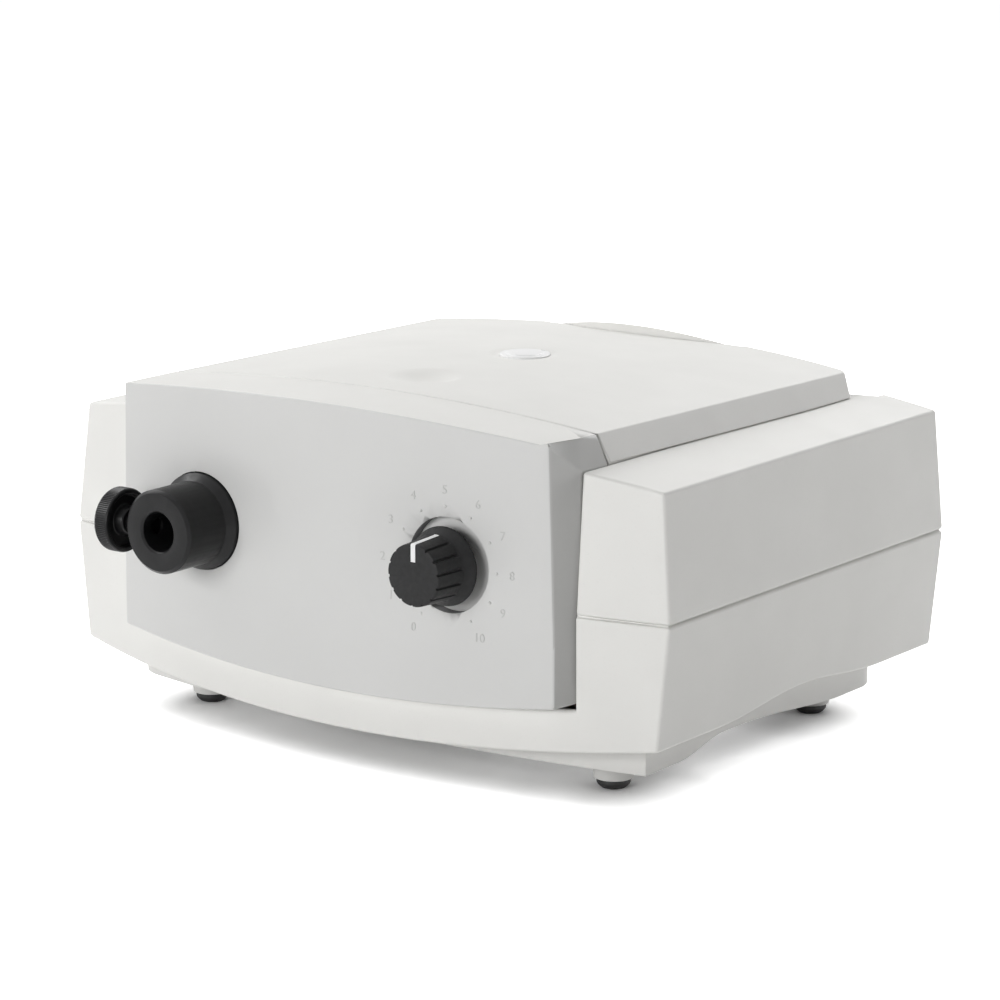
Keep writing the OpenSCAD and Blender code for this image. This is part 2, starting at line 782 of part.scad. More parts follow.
module rear_panel() {
    slots = 9;
    pitch = 4.6;
    color(bezel_col) difference() {
        union() {
            block([-window_half - 3, panel_in, -sill - 3], [window_half + 3, panel_y, upper_h - 0.5]);
            block([-ear_in + cover_gap, panel_in, 0], [ear_in - cover_gap, panel_y, panel_top]);
        }
        y_bar(0, fan_z, panel_in - 1, panel_y + 1, fan_a / 2 - 3);
        block([inlet_x - inlet_half - 0.2, panel_in - 1, inlet_low - 0.2],
            [inlet_x + inlet_half + 0.2, panel_y + 1, inlet_top + 0.2]);
        block([inlet_x - 10.7, panel_in - 1, switch_z - 7],
            [inlet_x + 10.7, panel_y + 1, switch_z + 7]);
        // Air slots beside the lamp
        for (i = [0 : slots - 1])
            block([-96 + i * pitch, panel_in - 1, -22], [-93.4 + i * pitch, panel_y + 1, 38]);
        at_inlet_screws() y_bar(0, 0, panel_in - 1, panel_y + 1, 1.25, facets = 24);
        at_panel_screws() y_bar(0, 0, panel_in - 1, panel_y + 1, 1.4, facets = 24);
        at_fan_screws() y_bar(0, 0, panel_in - 1, panel_y + 1, 2.2, facets = 24);
        at_hood_screws() y_bar(0, 0, panel_in - 1, panel_y + 1, 1.6, facets = 24);
    }
}

// The hood's form under its sloping arch, inset by t
module hood_form(t = 0) {
    arch_rise = 2.9;
    arch_r = arc_r(hood_half, arch_rise);
    intersection() {
        union() {
            translate([0, 0, 1 - sill + t]) linear_extrude(panel_top - 0.2 + sill - 1 - 2 * t)
                hood_box(-t);
            translate([0, 0, 1 - sill + t]) linear_extrude(120) intersection() {
                hood_box(-t);
                hood_crescent(-t);
            }
            translate([0, 0, panel_top + 0.5 + t]) linear_extrude(60) hood_crescent(-t);
        }
        translate([0, cover_y + 1, hood_top]) rotate([-hood_slope, 0, 0])
            y_bar(0, -arch_r, -40, 60, arch_r - t, facets = big);
    }
}

module rear_hood() {
    rows = 11;
    pitch = 7.6;
    color(shell_col) difference() {
        union() {
            difference() {
                hood_form();
                hood_form(cover_wall);
            }
            // Bosses for the two screws from inside the panel
            intersection() {
                hood_form();
                at_hood_screws() y_bar(0, 0, panel_y, hood_y, 3.2);
            }
        }
        // Exhaust slots across the rear
        for (i = [0 : rows - 1])
            block([-36, panel_y + 6, fan_z - 38.5 + i * pitch],
                [36, hood_y + 5, fan_z - 35 + i * pitch]);
        at_hood_screws() y_bar(0, 0, panel_y - 1, panel_y + 4, 1.25, facets = 24);
    }
}

// ---- Light guide port ----

port_rear = bracket_y + bracket_t + 8;
thread_r = 12;

module light_guide_port() {
    f = face_at(port_x);
    clamp_y = port_face + clamp_back;
    color(black_col) difference() {
        union() {
            y_bar(-port_x, port_z, port_face, port_face + 1.2, barrel_r - 1.2, barrel_r);
            y_bar(-port_x, port_z, port_face + 1.2, f - 3.9, barrel_r);
            y_bar(-port_x, port_z, f - 3.9, f - 1.4, barrel_r, flange_r - 0.4);
            y_bar(-port_x, port_z, f - 1.4, f - 1, flange_r - 0.4, flange_r);
            y_bar(-port_x, port_z, f - 1, f + 4.5, flange_r);
            y_bar(-port_x, port_z, f + 4.5, bracket_y, barrel_r - 1);
            y_bar(-port_x, port_z, bracket_y, port_rear, thread_r);
        }
        y_bar(-port_x, port_z, port_face - 1, port_rear + 1, guide_d / 2);
        // Lead-in of the bore
        y_bar(-port_x, port_z, port_face - 0.01, port_face + 0.8, guide_d / 2 + 0.8, guide_d / 2);
        // Hole of the clamping screw
        translate([-port_x - barrel_r - 5, clamp_y, port_z]) rotate([0, 90, 0])
            cylinder(r = clamp_hole_r, h = barrel_r + 5, $fn = 48);
    }
}

clamp_hole_r = 3.05;
clamp_back_off = 1; // at rest the tip stands this far outside the bore
tip_len = 3;
clamp_tip_x = -port_x - guide_d / 2 - clamp_back_off;

// Pressure pad that the clamping screw pushes straight in
module clamp_tip() {
    color([0.78, 0.64, 0.32]) translate([clamp_tip_x, port_face + clamp_back, port_z])
        rotate([0, -90, 0]) difference() {
            cylinder(r = clamp_hole_r - fit, h = tip_len, $fn = 48);
            translate([0, 0, 1]) cylinder(r = 1.5 + fit, h = tip_len, $fn = 32);
        }
}

module clamp_screw() {
    // Inner face of the head, from the pressure pad's rear
    head_in = clamp_reach - clamp_head_t / 2 - guide_d / 2 - clamp_back_off - tip_len;
    knurls = 48;
    color(black_col) translate([clamp_tip_x - tip_len, port_face + clamp_back, port_z])
        rotate([0, -90, 0]) union() {
            translate([0, 0, 1 - tip_len + 0.1]) cylinder(r = 1.5, h = tip_len - 1, $fn = 32);
            cylinder(r = clamp_hole_r - fit, h = head_in + 2, $fn = 48);
            translate([0, 0, head_in - 1.5]) cylinder(r = 4.6, h = 4);
            difference() {
                translate([0, 0, head_in]) union() {
                    cylinder(r1 = clamp_head_r - 1.2, r2 = clamp_head_r - 0.5, h = 0.8);
                    translate([0, 0, 0.8]) linear_extrude(clamp_head_t - 1.6)
                        polygon([for (i = [0 : 2 * knurls - 1])
                            let (r = clamp_head_r - 0.35 * (i % 2), a = 180 * i / knurls)
                            [r * cos(a), r * sin(a)]]);
                    translate([0, 0, clamp_head_t - 0.8])
                        cylinder(r1 = clamp_head_r - 0.5, r2 = clamp_head_r - 1.2, h = 0.8);
                }
                // Dished face towards the port
                difference() {
                    translate([0, 0, head_in - 0.01]) cylinder(r = clamp_head_r - 2, h = 2);
                    translate([0, 0, head_in - 1]) cylinder(r = 4.6, h = 4);
                }
            }
        }
}

module port_bracket() {
    color(steel_col) difference() {
        union() {
            block([-port_x - bracket_half, bracket_y, deck_z],
                [-port_x + bracket_half, bracket_y + bracket_t, port_z + 24]);
            block([-port_x - bracket_half, bracket_y, deck_z],
                [-port_x + bracket_half, bracket_y + bracket_foot, deck_z + bracket_t]);
            for (x = [-port_x - bracket_half, -port_x + bracket_half - bracket_t])
                x_prism(x, x + bracket_t) polygon([[bracket_y, deck_z],
                    [bracket_y + bracket_foot, deck_z], [bracket_y + bracket_t, 0], [bracket_y, 0]]);
        }
        y_bar(-port_x, port_z, bracket_y - 1, bracket_y + bracket_t + 1, thread_r);
    }
}

module port_ring_nut() {
    y0 = bracket_y + bracket_t;
    color(steel_col) difference() {
        y_bar(-port_x, port_z, y0, y0 + 4, thread_r + 3.5);
        y_bar(-port_x, port_z, y0 - 1, y0 + 5, thread_r);
        for (i = [0 : 3]) translate([-port_x, 0, port_z]) rotate([0, 90 * i, 0])
            block([-1.6, y0 - 1, thread_r + 2], [1.6, y0 + 5, thread_r + 5]);
    }
}

// ---- Knob and potentiometer ----

knob_rear = face_at(knob_x) - skirt_out + 1.4;
knob_cone = knob_rear - 5.1; // where the body meets the skirt's cone
pointer_w = 2;

// The pointer's line, across the cap's rim and down the body; grown by g
module pointer_form(g = 0) {
    depth = 0.5;
    translate([knob_x, 0, port_z]) union() {
        block([-pointer_w / 2, knob_face - g, 4.9], [pointer_w / 2, knob_face + depth, knob_r + 1]);
        block([-pointer_w / 2, knob_face - g, knob_r - 0.7],
            [pointer_w / 2, knob_cone + 1.6, knob_r + 3]);
    }
}

module knob_body() {
    y_bar(knob_x, port_z, knob_face, knob_face + 0.4, knob_r - 0.4, knob_r);
    y_bar(knob_x, port_z, knob_face + 0.4, knob_cone, knob_r, knob_r + 0.7);
    y_bar(knob_x, port_z, knob_cone, knob_rear - 1.4, knob_r + 0.7, skirt_r);
    y_bar(knob_x, port_z, knob_rear - 1.4, knob_rear, skirt_r);
}

module intensity_knob() {
    color(black_col) difference() {
        knob_body();
        // Narrow grooves between the grip lands, none beside the pointer
        for (i = [1 : flutes - 2]) translate([knob_x, 0, port_z]) rotate([0, 360 * (i + 0.2) / flutes, 0])
            block([-0.45, knob_face - 1, knob_r - 0.5], [0.45, knob_cone - 0.3, knob_r + 2]);
        pointer_form(1);
        difference() {
            y_bar(knob_x, port_z, knob_rear - 5, knob_rear + 1, 8.5);
            y_bar(knob_x, port_z, knob_rear - 6, knob_rear, 5);
        }
        y_bar(knob_x, port_z, knob_face + 4, knob_rear, shaft_d / 2);
    }
}

module knob_pointer() {
    color("white") intersection() {
        pointer_form();
        knob_body();
    }
}

module pot_shaft() {
    color(steel_col) y_bar(knob_x, port_z, knob_face + 4, board_y - 3, shaft_d / 2);
}

module pot_body() {
    y0 = well_y + wall;
    color([0.35, 0.36, 0.38]) difference() {
        union() {
            y_bar(knob_x, port_z, y0, board_y, 8.4);
            y_bar(knob_x, port_z, well_y - 4, y0 + 1, 4.5, facets = 48);
            for (x = [-5, 0, 5]) block([knob_x + x - 0.5, board_y - 3, port_z - 13],
                [knob_x + x + 0.5, board_y, port_z - 7]);
        }
        y_bar(knob_x, port_z, well_y - 5, board_y - 2.5, shaft_d / 2 + fit);
    }
}

module pot_nut() {
    color(steel_col) difference() {
        y_bar(knob_x, port_z, well_y - 2.2, well_y, 6.6, facets = 6);
        y_bar(knob_x, port_z, well_y - 3, well_y + 1, 4.5, facets = 48);
    }
}

module control_pcb() {
    color(board_col) difference() {
        block([knob_x - 27, board_y, port_z - 31], [knob_x + 27, board_y + 1.6, port_z + 31]);
        at_board_posts() y_bar(0, 0, board_y - 1, board_y + 2, 1.3, facets = 24);
    }
}

module control_parts() {
    y = board_y + 1.6;
    color([0.15, 0.15, 0.17]) union() {
        for (x = [-12, 4]) y_bar(knob_x + x, port_z + 18, y, y + 11, 4);
        block([knob_x + 10, y, port_z - 24], [knob_x + 24, y + 8, port_z - 14]);
        for (i = [0 : 2]) translate([knob_x - 18 + 9 * i, y, port_z])
            block([0, 0, -6], [6, 2.5, 4]);
    }
}

// ---- Chassis, lamp and optics ----

module chassis_plate() {
    color(steel_col) difference() {
        block([-ear_in - 1.4, deck_front, deck_z - deck_t], [ear_in + 1.4, deck_rear, deck_z]);
        at_deck_posts() translate([0, 0, deck_z - 5]) cylinder(r = 1.7, h = 10, $fn = 24);
        translate([toroid_x, toroid_y, deck_z - 5]) cylinder(r = 3.2, h = 10, $fn = 32);
    }
}

module chassis_screws() {
    color(steel_col) at_deck_posts() translate([0, 0, deck_z]) rotate([180, 0, 0]) screw(2.5, 6.5, 3, 2);
}

shield_z = -20; // top of the heat shield's floor
shield_t = 1.5;
shield_half = 40;
shield_l = -port_x - shield_half;
shield_r = -port_x + shield_half;
shield_front = 26;
shield_rear = 132;

module heat_shield() {
    side_top = 38;
    color(steel_col) union() {
        block([shield_l, shield_front, shield_z - shield_t], [shield_r, shield_rear, shield_z]);
        block([shield_r - shield_t, shield_front, deck_z], [shield_r, shield_rear, side_top]);
        block([shield_l, shield_front, deck_z], [shield_l + shield_t, shield_rear, shield_z]);
    }
}

filter_y = 29; // front face of the heat filter
filter_r = 15;

module filter_holder() {
    half = 22;
    y0 = filter_y - 2;
    y1 = filter_y + 4;
    color(steel_col) difference() {
        union() {
            block([-port_x - half, y0, shield_z], [-port_x + half, y1, port_z + 20]);
            block([-port_x - half, y0, shield_z], [-port_x + half, y1 + 7, shield_z + 2]);
        }
        y_bar(-port_x, port_z, y0 - 1, y1 + 1, filter_r - 2);
        y_bar(-port_x, port_z, filter_y, y1 + 1, filter_r + 0.2);
    }
}

module heat_filter() {
    color([0.75, 0.9, 0.9, 0.5]) y_bar(-port_x, port_z, filter_y, filter_y + 3, filter_r);
}

module lamp_bracket() {
    color(steel_col) difference() {
        union() {
            block([-port_x - bracket_half, rim_y - 2, shield_z],
                [-port_x + bracket_half, rim_y, port_z + 22]);
            block([-port_x - bracket_half, rim_y - 2, shield_z],
                [-port_x + bracket_half, rim_y + 14, shield_z + 2]);
        }
        y_bar(-port_x, port_z, rim_y - 3, rim_y + 1, lamp_d / 2 - 1.5);
    }
}

lamp_rim = 4.5; // width of the reflector's flat rim

// Profile of the reflector's bowl as a radius over its depth
function bowl(u) = 8.6 + (lamp_d / 2 - lamp_rim - 8.6) * sqrt(u);

module lamp_reflector() {
    depth = 25;
    steps = 14;
    color([0.82, 0.84, 0.88]) translate([-port_x, rim_y, port_z]) rotate([-90, 0, 0])
        rotate_extrude() polygon(concat(
            [[lamp_d / 2, 0], [lamp_d / 2, 2.2], [lamp_d / 2 - 2.7, 2.2]],
            [for (i = [0 : steps]) let (u = 1 - i / steps) [bowl(u) + 1.6, 3 + (depth - 3) * (1 - u)]],
            [for (i = [0 : steps]) let (u = i / steps) [bowl(u), 3 + (depth - 3) * (1 - u)]],
            [[lamp_d / 2 - lamp_rim + 0.6, 0]]));
}

module lamp_base() {
    color([0.92, 0.90, 0.85]) difference() {
        union() {
            y_bar(-port_x, port_z, rim_y + 21, rim_y + 25, 8.4);
            block([-port_x - 9, rim_y + 25, port_z - 6], [-port_x + 9, rim_y + 38, port_z + 6]);
        }
        y_bar(-port_x, port_z, rim_y + 20, rim_y + 27, 3.2);
    }
}

module lamp_bulb() {
    color([0.9, 0.95, 1, 0.5]) union() {
        y_bar(-port_x, port_z, rim_y + 9, rim_y + 21, 5.5);
        translate([-port_x, rim_y + 9, port_z]) sphere(r = 5.5, $fn = 48);
        y_bar(-port_x, port_z, rim_y + 21, rim_y + 27, 3.2);
    }
}

module lamp_socket() {
    y0 = rim_y + 38;
    color([0.9, 0.88, 0.82]) union() {
        block([-port_x - 12, y0, port_z - 8], [-port_x + 12, y0 + 14, port_z + 8]);
        block([-port_x - 14, y0 + 11, shield_z], [-port_x + 14, y0 + 14, port_z + 8]);
        block([-port_x - 14, y0 + 3, shield_z], [-port_x + 14, y0 + 14, shield_z + 2.5]);
        for (x = [-4, 4]) y_bar(-port_x + x, port_z, y0 + 14, y0 + 20, 2, facets = 24);
    }
}

// Spring clips that hold the reflector's rim to its bracket
module lamp_clip() {
    r = lamp_d / 2;
    color(steel_col) for (a = [-60, 60]) translate([-port_x, rim_y, port_z]) rotate([0, a, 0]) union() {
        block([-4, 0, r + 0.3], [4, 3.4, r + 1.3]);
        block([-4, 2.4, r - 2.3], [4, 3.4, r + 1.3]);
        block([-4, 0, r + 0.3], [4, 1, r + 5]);
    }
}

// ---- Power section ----

power_z = deck_z + 6; // underside of the power board
power_t = 1.6;
power_y = 34; // its front edge
power_len = 92;
power_h = shield_z - shield_t - 1.9 - power_z - power_t; // the tallest part clears the shield

module power_pcb() {
    color(board_col) union() {
        block([shield_l + 6, power_y, power_z], [shield_r - 6, power_y + power_len, power_z + power_t]);
        for (x = [shield_l + 10, shield_r - 10], y = [4, power_len - 4])
            translate([x, power_y + y, deck_z]) cylinder(r = 2.5, h = 6.5, $fn = 24);
    }
}

module power_parts() {
    z = power_z + power_t;
    color([0.16, 0.17, 0.2]) translate([shield_l, power_y, z]) union() {
        for (i = [0 : 2]) translate([20 + 15 * i, 26, 0]) cylinder(r = 6, h = power_h - 1);
        block([16, 42, 0], [38, 60, power_h - 1]);
        for (i = [0 : 3]) block([46 + 6 * i, 46, 0], [50 + 6 * i, 58, 7]);
    }
}

module power_heatsink() {
    fins = 9;
    pitch = 5.6;
    color([0.55, 0.56, 0.58]) translate([shield_l, power_y + 70, power_z + power_t]) union() {
        block([14, 0, 0], [2 * shield_half - 14, 3, power_h]);
        for (i = [0 : fins - 1]) block([16 + pitch * i, 3, 0], [17.4 + pitch * i, 14, power_h]);
    }
}

pad_t = 1.5;
toroid_bot = deck_z + pad_t;

module toroid_transformer() {
    r_in = 13;
    r_out = toroid_d / 2;
    round = 8;
    color([0.76, 0.52, 0.20]) translate([toroid_x, toroid_y, toroid_bot]) rotate_extrude($fn = 96)
        union() {
            translate([r_in, round]) square([r_out - r_in, toroid_h - 2 * round]);
            translate([r_in + round, 0]) square([r_out - r_in - 2 * round, toroid_h]);
            for (x = [r_in + round, r_out - round], z = [round, toroid_h - round])
                translate([x, z]) circle(r = round, $fn = 48);
        }
}

module toroid_pads() {
    color(black_col) translate([toroid_x, toroid_y, 0]) for (z = [deck_z, toroid_bot + toroid_h])
        translate([0, 0, z]) difference() {
            cylinder(r = toroid_d / 2 - 10, h = pad_t);
            translate([0, 0, -1]) cylinder(r = 12, h = pad_t + 2);
        }
}

module toroid_plate() {
    z = toroid_bot + toroid_h + pad_t;
    color(steel_col) translate([toroid_x, toroid_y, z]) difference() {
        cylinder(r = toroid_d / 2 - 10, h = 2);
        translate([0, 0, -1]) cylinder(r = 3.2, h = 4, $fn = 32);
    }
}

module toroid_bolt() {
    z = toroid_bot + toroid_h + pad_t + 2;
    color(steel_col) translate([toroid_x, toroid_y, 0]) union() {
        translate([0, 0, z]) cylinder(r = 5.8, h = 4, $fn = 6);
        translate([0, 0, deck_z - deck_t]) cylinder(r = 3, h = z + 1 - deck_z + deck_t, $fn = 32);
        translate([0, 0, deck_z - deck_t - 3]) cylinder(r = 5.5, h = 3, $fn = 6);
    }
}

// ---- Fan ----

fan_y1 = panel_in; // the frame stands against the panel
fan_y0 = fan_y1 - fan_t;
duct_r = fan_a / 2 - 1.5;
hub_r = 18;

module fan_frame() {
    color(black_col) difference() {
        union() {
            difference() {
                block([-fan_a / 2, fan_y0, fan_z - fan_a / 2], [fan_a / 2, fan_y1, fan_z + fan_a / 2]);
                y_bar(0, fan_z, fan_y0 - 1, fan_y1 + 1, duct_r);
                // Waist between the two flanges
                difference() {
                    block([-fan_a, fan_y0 + 4, -fan_a], [fan_a, fan_y1 - 4, fan_a]);
                    y_bar(0, fan_z, fan_y0, fan_y1, duct_r + 2);
                }
            }
            // Motor seat on four arms
            y_bar(0, fan_z, fan_y1 - 4, fan_y1, hub_r);
            y_bar(0, fan_z, fan_y1 - 14, fan_y1, 5);
            for (a = [45 : 90 : 315]) translate([0, 0, fan_z]) rotate([0, a, 0])
                block([-2.2, fan_y1 - 3.5, hub_r - 2], [2.2, fan_y1, duct_r + 1]);
        }
        y_bar(0, fan_z, fan_y0, fan_y1 - 2, 1.5 + fit, facets = 32);
        at_fan_screws() y_bar(0, 0, fan_y0 - 1, fan_y1 + 1, 2.15, facets = 24);
    }
}

module fan_rotor() {
    y0 = fan_y0 + 1;
    y1 = fan_y1 - 5;
    color([0.13, 0.13, 0.14]) union() {
        difference() {
            y_bar(0, fan_z, y0, y1, hub_r);
            y_bar(0, fan_z, y0 + 2, y1 + 1, hub_r - 2);
        }
        y_bar(0, fan_z, y0 + 1, fan_y1 - 3, 1.5, facets = 32);
        intersection() {
            difference() {
                y_bar(0, fan_z, y0 + 0.5, y1 - 0.5, duct_r - 1);
                y_bar(0, fan_z, y0, y1, hub_r - 0.5);
            }
            for (i = [0 : blades - 1]) translate([0, (y0 + y1) / 2, fan_z])
                rotate([0, 360 * i / blades, 0]) rotate([0, 0, 38])
                    block([-1, -25, hub_r - 4], [1, 25, fan_a]);
        }
    }
}

module fan_screws() {
    color(steel_col) at_fan_screws() translate([0, fan_y0, 0]) rotate([-90, 0, 0])
        screw(4, fan_t + panel_t - 0.3, 3.6, 2.4);
}

// ---- Mains inlet and switch ----

module mains_inlet() {
    y_flange = panel_y + 2;
    depth = 22;
    sock_w = 24.2;
    sock_h = 16.6;
    color(black_col) difference() {
        union() {
            block([inlet_x - 24.5, panel_y, socket_z - 12.5], [inlet_x + 24.5, y_flange, socket_z + 12.5]);
            block([inlet_x - 15.5, panel_y, inlet_low - 2], [inlet_x + 15.5, y_flange, socket_z]);
            block([inlet_x - inlet_half, y_flange - depth - 3, inlet_low],
                [inlet_x + inlet_half, y_flange, inlet_top]);
        }
        // Socket with its two chamfered lower corners
        translate([inlet_x, 0, socket_z]) y_prism(y_flange - depth, y_flange + 1)
            polygon([[-sock_w / 2, -sock_h / 2 + 4.5], [-sock_w / 2 + 4.5, -sock_h / 2],
                [sock_w / 2 - 4.5, -sock_h / 2], [sock_w / 2, -sock_h / 2 + 4.5],
                [sock_w / 2, sock_h / 2], [-sock_w / 2, sock_h / 2]]);
        // Shaft of the fuse drawer
        block([inlet_x - 12, y_flange - depth, drawer_z - 4.5],
            [inlet_x + 12, y_flange + 1, drawer_z + 4.5]);
        at_inlet_screws() y_bar(0, 0, panel_y - 1, y_flange + 1, 1.4, facets = 24);
        pin_blades(y_flange - depth - 4, y_flange - depth + 1, 0.05);
    }
}

// The three flat pins between two depths, grown by g
module pin_blades(y0, y1, g = 0) {
    for (p = [[-7, -2], [0, 2], [7, -2]]) translate([inlet_x + p[0], 0, socket_z + p[1]])
        block([-1 - g, y0, -2 - g], [1 + g, y1, 2 + g]);
}

module inlet_pins() {
    color(steel_col) pin_blades(panel_y - 28, panel_y - 3.5);
}

module fuse_drawer() {
    play = 0.3;
    y1 = panel_y + 2.2;
    y0 = panel_y - 19.7;
    color(black_col) difference() {
        union() {
            block([inlet_x - 12 + play, y0, drawer_z - 4.5 + play],
                [inlet_x + 12 - play, y1, drawer_z + 4.5 - play]);
            block([inlet_x - 13, y1, drawer_z - 5.2], [inlet_x + 13, y1 + 1.8, drawer_z + 5.2]);
        }
        for (x = [-6, 6]) block([inlet_x + x - 3.2, y0 - 1, drawer_z - 2.7],
            [inlet_x + x + 3.2, panel_y + 0.6, drawer_z + 10]);
        block([inlet_x - 4, y1 + 1, drawer_z - 6], [inlet_x + 4, y1 + 5, drawer_z - 3.6]);
    }
}

module fuse_links() {
    y0 = panel_y - 19.6;
    color([0.8, 0.85, 0.85]) for (x = [-6, 6])
        y_bar(inlet_x + x, drawer_z - 0.05, y0, y0 + 20, 2.6, facets = 32);
}

module switch_housing() {
    y1 = panel_y + 1.8;
    color(black_col) difference() {
        union() {
            block([inlet_x - 12.5, panel_y, switch_z - 8.8], [inlet_x + 12.5, y1, switch_z + 8.8]);
            block([inlet_x - 10.5, panel_y - 16, switch_z - 6.8], [inlet_x + 10.5, y1, switch_z + 6.8]);
            for (x = [-6, 6]) block([inlet_x + x - 2.4, panel_y - 24, switch_z - 0.4],
                [inlet_x + x + 2.4, panel_y - 15, switch_z + 0.4]);
        }
        block([inlet_x - 9, panel_y - 9, switch_z - 5.3], [inlet_x + 9, y1 + 1, switch_z + 5.3]);
        translate([inlet_x, panel_y - 4, 0]) cylinder(r = 1.2 + fit, h = switch_z + 6.3, $fn = 32);
    }
}

// Rocker that tips about an upright pin, drawn in its off position
module switch_rocker() {
    tip = 9;
    color([0.06, 0.06, 0.06]) translate([inlet_x, panel_y - 4, switch_z]) union() {
        rotate([0, 0, tip]) translate([0, 0, -4.8]) linear_extrude(9.6)
            polygon([[-8, 3.2], [-7.6, 7], [0, 5.6], [7.6, 7], [8, 3.2], [3, -2.4], [-3, -2.4]]);
        translate([0, 0, -6]) cylinder(r = 1.2, h = 12, $fn = 32);
    }
}

// ---- Fasteners ----

module panel_screws() {
    color(steel_col) at_panel_screws() translate([0, panel_y, 0]) rotate([90, 0, 0])
        screw(2.5, 10, 2.6, 1.8);
}

module inlet_screws() {
    color(steel_col) at_inlet_screws() translate([0, panel_y + 2, 0]) rotate([90, 0, 0])
        screw(2.5, 7, 2.6, 1.6);
}

module hood_screws() {
    color(steel_col) at_hood_screws() translate([0, panel_in, 0]) rotate([-90, 0, 0]) screw(2.5, 7, 2.6, 2);
}

module shell_screws() {
    shallow = lower_h - grip_h - wall;
    color(steel_col) at_shell_posts() translate([0, 0, 6 - shallow]) screw(3, shallow + 12, 2.9, 2.2);
}

module bezel_screws() {
    color(steel_col) at_board_posts() translate([0, board_y + 1.6, 0]) rotate([90, 0, 0])
        screw(2.4, 7, 2.4, 1.8);
}

// From the design frame to the middle of the footprint on the table
module on_table() {
    translate([0, -y_mid, foot_z]) children();
}

on_table() lower_shell();
on_table() base_plinth();
on_table() upper_shell();
on_table() front_bezel();
on_table() top_cover();
on_table() cover_badge();
on_table() rear_panel();
on_table() rear_hood();
on_table() foot(-1, false);  // foot_front_left
on_table() foot(1, false);  // foot_front_right
on_table() foot(-1, true);  // foot_rear_left
on_table() foot(1, true);  // foot_rear_right
on_table() light_guide_port();
on_table() port_bracket();
on_table() port_ring_nut();
on_table() clamp_tip();
on_table() clamp_screw();
on_table() intensity_knob();
on_table() knob_pointer();
on_table() pot_shaft();
on_table() pot_body();
on_table() pot_nut();
on_table() control_pcb();
on_table() control_parts();
on_table() chassis_plate();
on_table() chassis_screws();
on_table() heat_shield();
on_table() filter_holder();
on_table() heat_filter();
on_table() lamp_bracket();
on_table() lamp_reflector();
on_table() lamp_bulb();
on_table() lamp_base();
on_table() lamp_socket();
on_table() lamp_clip();
on_table() power_pcb();
on_table() power_parts();
on_table() power_heatsink();
on_table() toroid_transformer();
on_table() toroid_pads();
on_table() toroid_plate();
on_table() toroid_bolt();
on_table() fan_frame();
on_table() fan_rotor();
on_table() fan_screws();
on_table() mains_inlet();
on_table() inlet_pins();
on_table() fuse_drawer();
on_table() fuse_links();
on_table() switch_housing();
on_table() switch_rocker();
on_table() panel_screws();
on_table() inlet_screws();
on_table() hood_screws();
on_table() shell_screws();
on_table() bezel_screws();
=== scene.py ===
"""Looks of a cold light source for fibre optic light guides: moulded housing, guide port,
intensity knob and lamp cover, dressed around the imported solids. Metres, row frame."""

import json
import math

import bmesh
import bpy
from mathutils import Matrix, Vector
from mathutils.bvhtree import BVHTree

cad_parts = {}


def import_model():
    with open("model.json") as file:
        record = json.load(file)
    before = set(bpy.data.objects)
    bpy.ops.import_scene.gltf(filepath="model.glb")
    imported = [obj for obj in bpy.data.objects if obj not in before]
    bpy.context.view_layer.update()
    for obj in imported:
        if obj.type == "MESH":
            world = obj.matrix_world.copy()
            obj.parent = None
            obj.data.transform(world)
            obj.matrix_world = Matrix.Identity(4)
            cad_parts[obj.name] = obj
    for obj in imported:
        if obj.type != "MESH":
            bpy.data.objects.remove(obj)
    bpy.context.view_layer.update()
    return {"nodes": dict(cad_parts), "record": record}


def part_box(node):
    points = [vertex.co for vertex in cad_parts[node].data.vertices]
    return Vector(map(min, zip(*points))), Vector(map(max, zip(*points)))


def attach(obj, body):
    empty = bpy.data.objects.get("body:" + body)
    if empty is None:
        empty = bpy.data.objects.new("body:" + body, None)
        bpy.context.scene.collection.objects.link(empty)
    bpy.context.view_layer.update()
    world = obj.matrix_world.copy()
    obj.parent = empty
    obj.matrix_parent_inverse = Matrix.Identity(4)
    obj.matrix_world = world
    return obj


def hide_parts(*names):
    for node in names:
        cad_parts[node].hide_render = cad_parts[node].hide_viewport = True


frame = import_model()
scene = bpy.context.scene
MM = 0.001

# ---- Camera ----

CAMERA_PLACE = Vector((0.824762, -1.096235, 0.392413))
CAMERA_AHEAD = Vector((-0.58240407, 0.78302216, -0.2183616))
CAMERA_UP = Vector((-0.13184425, 0.17407561, 0.97586617))
CAMERA_LENS = 131.23


def place_camera():
    """The photograph's own viewpoint, worked out from the housing's corners."""
    data = bpy.data.cameras.new("camera")
    data.lens = CAMERA_LENS
    data.sensor_width = 36
    data.clip_end = 50
    camera = bpy.data.objects.new("camera", data)
    scene.collection.objects.link(camera)
    across = CAMERA_AHEAD.cross(CAMERA_UP)
    turn = Matrix((across, CAMERA_UP, -CAMERA_AHEAD)).transposed().to_4x4()
    camera.matrix_world = Matrix.Translation(CAMERA_PLACE) @ turn
    scene.camera = camera


# ---- Materials ----


